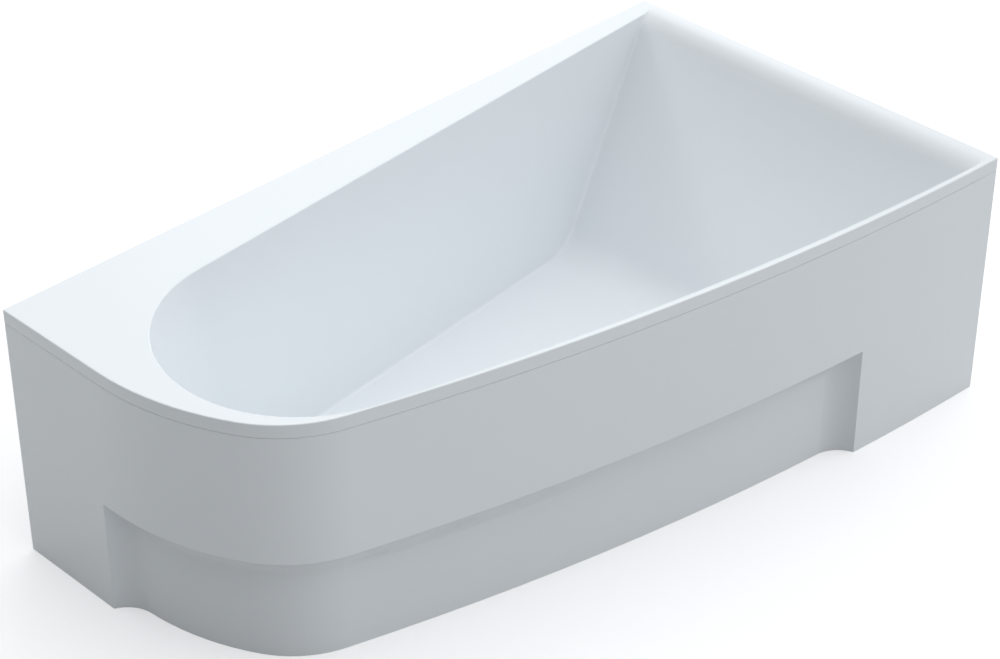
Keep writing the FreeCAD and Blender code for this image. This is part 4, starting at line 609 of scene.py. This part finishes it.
plug = {"radius": 0.032, "edge": 0.0008, "rise": 0.0038, "sides": 96,
        "rings": (0.0310, 0.0285, 0.025, 0.0205, 0.015, 0.008, 0.003),
        "sealOut": 0.028, "sealIn": 0.024, "sealRoom": 0.001, "groove": 0.0012}


def makePlug():
    # a disc with a domed top, raised ring by ring, and a groove for its seal below
    low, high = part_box("waste_plug")
    centre = ((low[0] + high[0]) / 2, (low[1] + high[1]) / 2, low[2])
    piece = addDrum(plug["sides"], plug["radius"], 0, plug["edge"])
    sweep = (plug["radius"] ** 2 + plug["rise"] ** 2) / (2 * plug["rise"])  # radius of the dome's sphere

    def height(r):
        return plug["rise"] - sweep + math.sqrt(sweep ** 2 - r ** 2)

    pickFaces(piece, looksUp)
    before = plug["radius"]
    for ring in plug["rings"]:
        bpy.ops.mesh.inset(thickness=before - ring)
        bpy.ops.transform.translate(value=(0, 0, height(ring) - height(before)))
        before = ring
    bpy.ops.object.mode_set(mode="OBJECT")
    pickFaces(piece, looksDown)
    bpy.ops.mesh.inset(thickness=plug["radius"] - plug["sealOut"])
    bpy.ops.mesh.inset(thickness=plug["sealOut"] - plug["sealIn"])
    bpy.ops.object.mode_set(mode="OBJECT")
    middle = (plug["sealOut"] + plug["sealIn"]) / 2

    def isSealRing(face):
        return looksDown(face) and abs(face.center.xy.length - middle) < plug["sealRoom"]

    pickFaces(piece, isSealRing)
    bpy.ops.mesh.extrude_region_move(TRANSFORM_OT_translate={"value": (0, 0, plug["groove"])})
    finishPiece(piece, "wastePlug", metals["chromeTrim"], "plug", "waste_plug", centre, 0)


makePlug()
print("knob and plug made")

plainWhite = (1, 1, 1, 1)
studio = {"floorSize": 60.0, "floorCuts": 3, "floorColour": (0.80, 0.805, 0.81), "floorLift": 0.30,
          "bounceColour": (0.50, 0.505, 0.51), "skyAxis": (0.45, -0.15, 0.88), "skyFade": 0.9,
          "skyTop": (1.39, 1.41, 1.43), "skySide": (0.01, 0.01, 0.01)}


def makeFloor():
    # looks white to the camera, but throws less light back at the tub
    bpy.ops.object.select_all(action="DESELECT")
    bpy.ops.mesh.primitive_plane_add(size=studio["floorSize"], location=(0, 0, 0))
    floor = bpy.context.object
    floor.name = "studioFloor"
    bpy.ops.object.mode_set(mode="EDIT")
    bpy.ops.mesh.subdivide(number_cuts=studio["floorCuts"])
    bpy.ops.object.mode_set(mode="OBJECT")
    material = bpy.data.materials.new("studioFloor")
    material.use_nodes = True
    tree = material.node_tree
    tree.nodes.clear()
    output = addNode(tree, "ShaderNodeOutputMaterial", 4, 0)
    seen = seenByEye(tree, -2, -2)
    pale = addNode(tree, "ShaderNodeBsdfDiffuse", 0, 0)
    pale.inputs["Color"].default_value = studio["floorColour"] + (1,)
    lift = addNode(tree, "ShaderNodeEmission", 0, 1)
    lift.inputs["Color"].default_value = plainWhite
    lift.inputs["Strength"].default_value = studio["floorLift"]
    both = addNode(tree, "ShaderNodeAddShader", 1, 0)
    joinUp(tree, pale, 0, both, 0)
    joinUp(tree, lift, 0, both, 1)
    bounce = addNode(tree, "ShaderNodeBsdfDiffuse", 1, 2)
    bounce.inputs["Color"].default_value = studio["bounceColour"] + (1,)
    mix = addNode(tree, "ShaderNodeMixShader", 2.5, 0)
    joinUp(tree, seen, 0, mix, 0)
    joinUp(tree, bounce, 0, mix, 1)
    joinUp(tree, both, 0, mix, 2)
    joinUp(tree, mix, 0, output, "Surface")
    floor.data.materials.append(material)


def makeSky():
    # light falls from one side of a leaning sky, and the camera sees plain white
    world = bpy.data.worlds.new("studioSky")
    bpy.context.scene.world = world
    world.use_nodes = True
    tree = world.node_tree
    tree.nodes.clear()
    output = addNode(tree, "ShaderNodeOutputWorld", 4, 0)
    place = addNode(tree, "ShaderNodeTexCoord", -4, 0)
    lean = addNode(tree, "ShaderNodeVectorMath", -3, 0, operation="DOT_PRODUCT")
    joinUp(tree, place, "Generated", lean, 0)
    lean.inputs[1].default_value = Vector(studio["skyAxis"]).normalized()
    fade = addNode(tree, "ShaderNodeMapRange", -2, 0, interpolation_type="SMOOTHSTEP")
    fade.inputs["From Max"].default_value = studio["skyFade"]
    joinUp(tree, lean, "Value", fade, "Value")
    tone = mixColours(tree, -1, 0)
    tone.inputs[6].default_value = studio["skySide"] + (1,)
    tone.inputs[7].default_value = studio["skyTop"] + (1,)
    joinUp(tree, fade, 0, tone, 0)
    light = addNode(tree, "ShaderNodeBackground", 0.5, 0)
    joinUp(tree, tone, 2, light, "Color")
    white = addNode(tree, "ShaderNodeBackground", 0.5, 2)
    white.inputs["Color"].default_value = plainWhite
    seen = seenByEye(tree, 0, -3)
    mix = addNode(tree, "ShaderNodeMixShader", 2.5, 0)
    joinUp(tree, seen, 0, mix, 0)
    joinUp(tree, light, 0, mix, 1)
    joinUp(tree, white, 0, mix, 2)
    joinUp(tree, mix, 0, output, "Surface")


lampAim = (0, 0, 0.3)
lamps = {
    "backRight": {"place": (3.4, 3.6, 3.2), "size": 3.0, "power": 17.0, "colour": (0.90, 0.98, 1.0)},
    "backLeft": {"place": (-3.4, 3.6, 3.2), "size": 3.0, "power": 24.0, "colour": (0.92, 0.98, 1.0)},
}


def addLamps():
    for name, lamp in lamps.items():
        data = bpy.data.lights.new(name, "AREA")
        data.shape = "DISK"
        data.size = lamp["size"]
        data.energy = lamp["power"]
        data.color = lamp["colour"]
        light = bpy.data.objects.new(name, data)
        light.location = lamp["place"]
        towards = Vector(lampAim) - Vector(lamp["place"])
        light.rotation_euler = towards.to_track_quat("-Z", "Y").to_euler()
        bpy.context.scene.collection.objects.link(light)


# solved from the photo: turn and dip in degrees, lens and sensor in millimetres
cameraValues = {"place": (-3.0221, -2.9755, 3.2221), "turn": 44.879, "dip": 34.338, "lens": 96.06,
                "sensor": 36.0}


def addCamera():
    data = bpy.data.cameras.new("photoCamera")
    data.lens = cameraValues["lens"]
    data.sensor_width = cameraValues["sensor"]
    camera = bpy.data.objects.new("photoCamera", data)
    camera.location = cameraValues["place"]
    camera.rotation_euler = (math.radians(90 - cameraValues["dip"]), 0, math.radians(-cameraValues["turn"]))
    bpy.context.scene.collection.objects.link(camera)
    bpy.context.scene.camera = camera


makeFloor()
makeSky()
addLamps()
addCamera()
bpy.context.scene.view_settings.view_transform = "Standard"
print("studio ready")
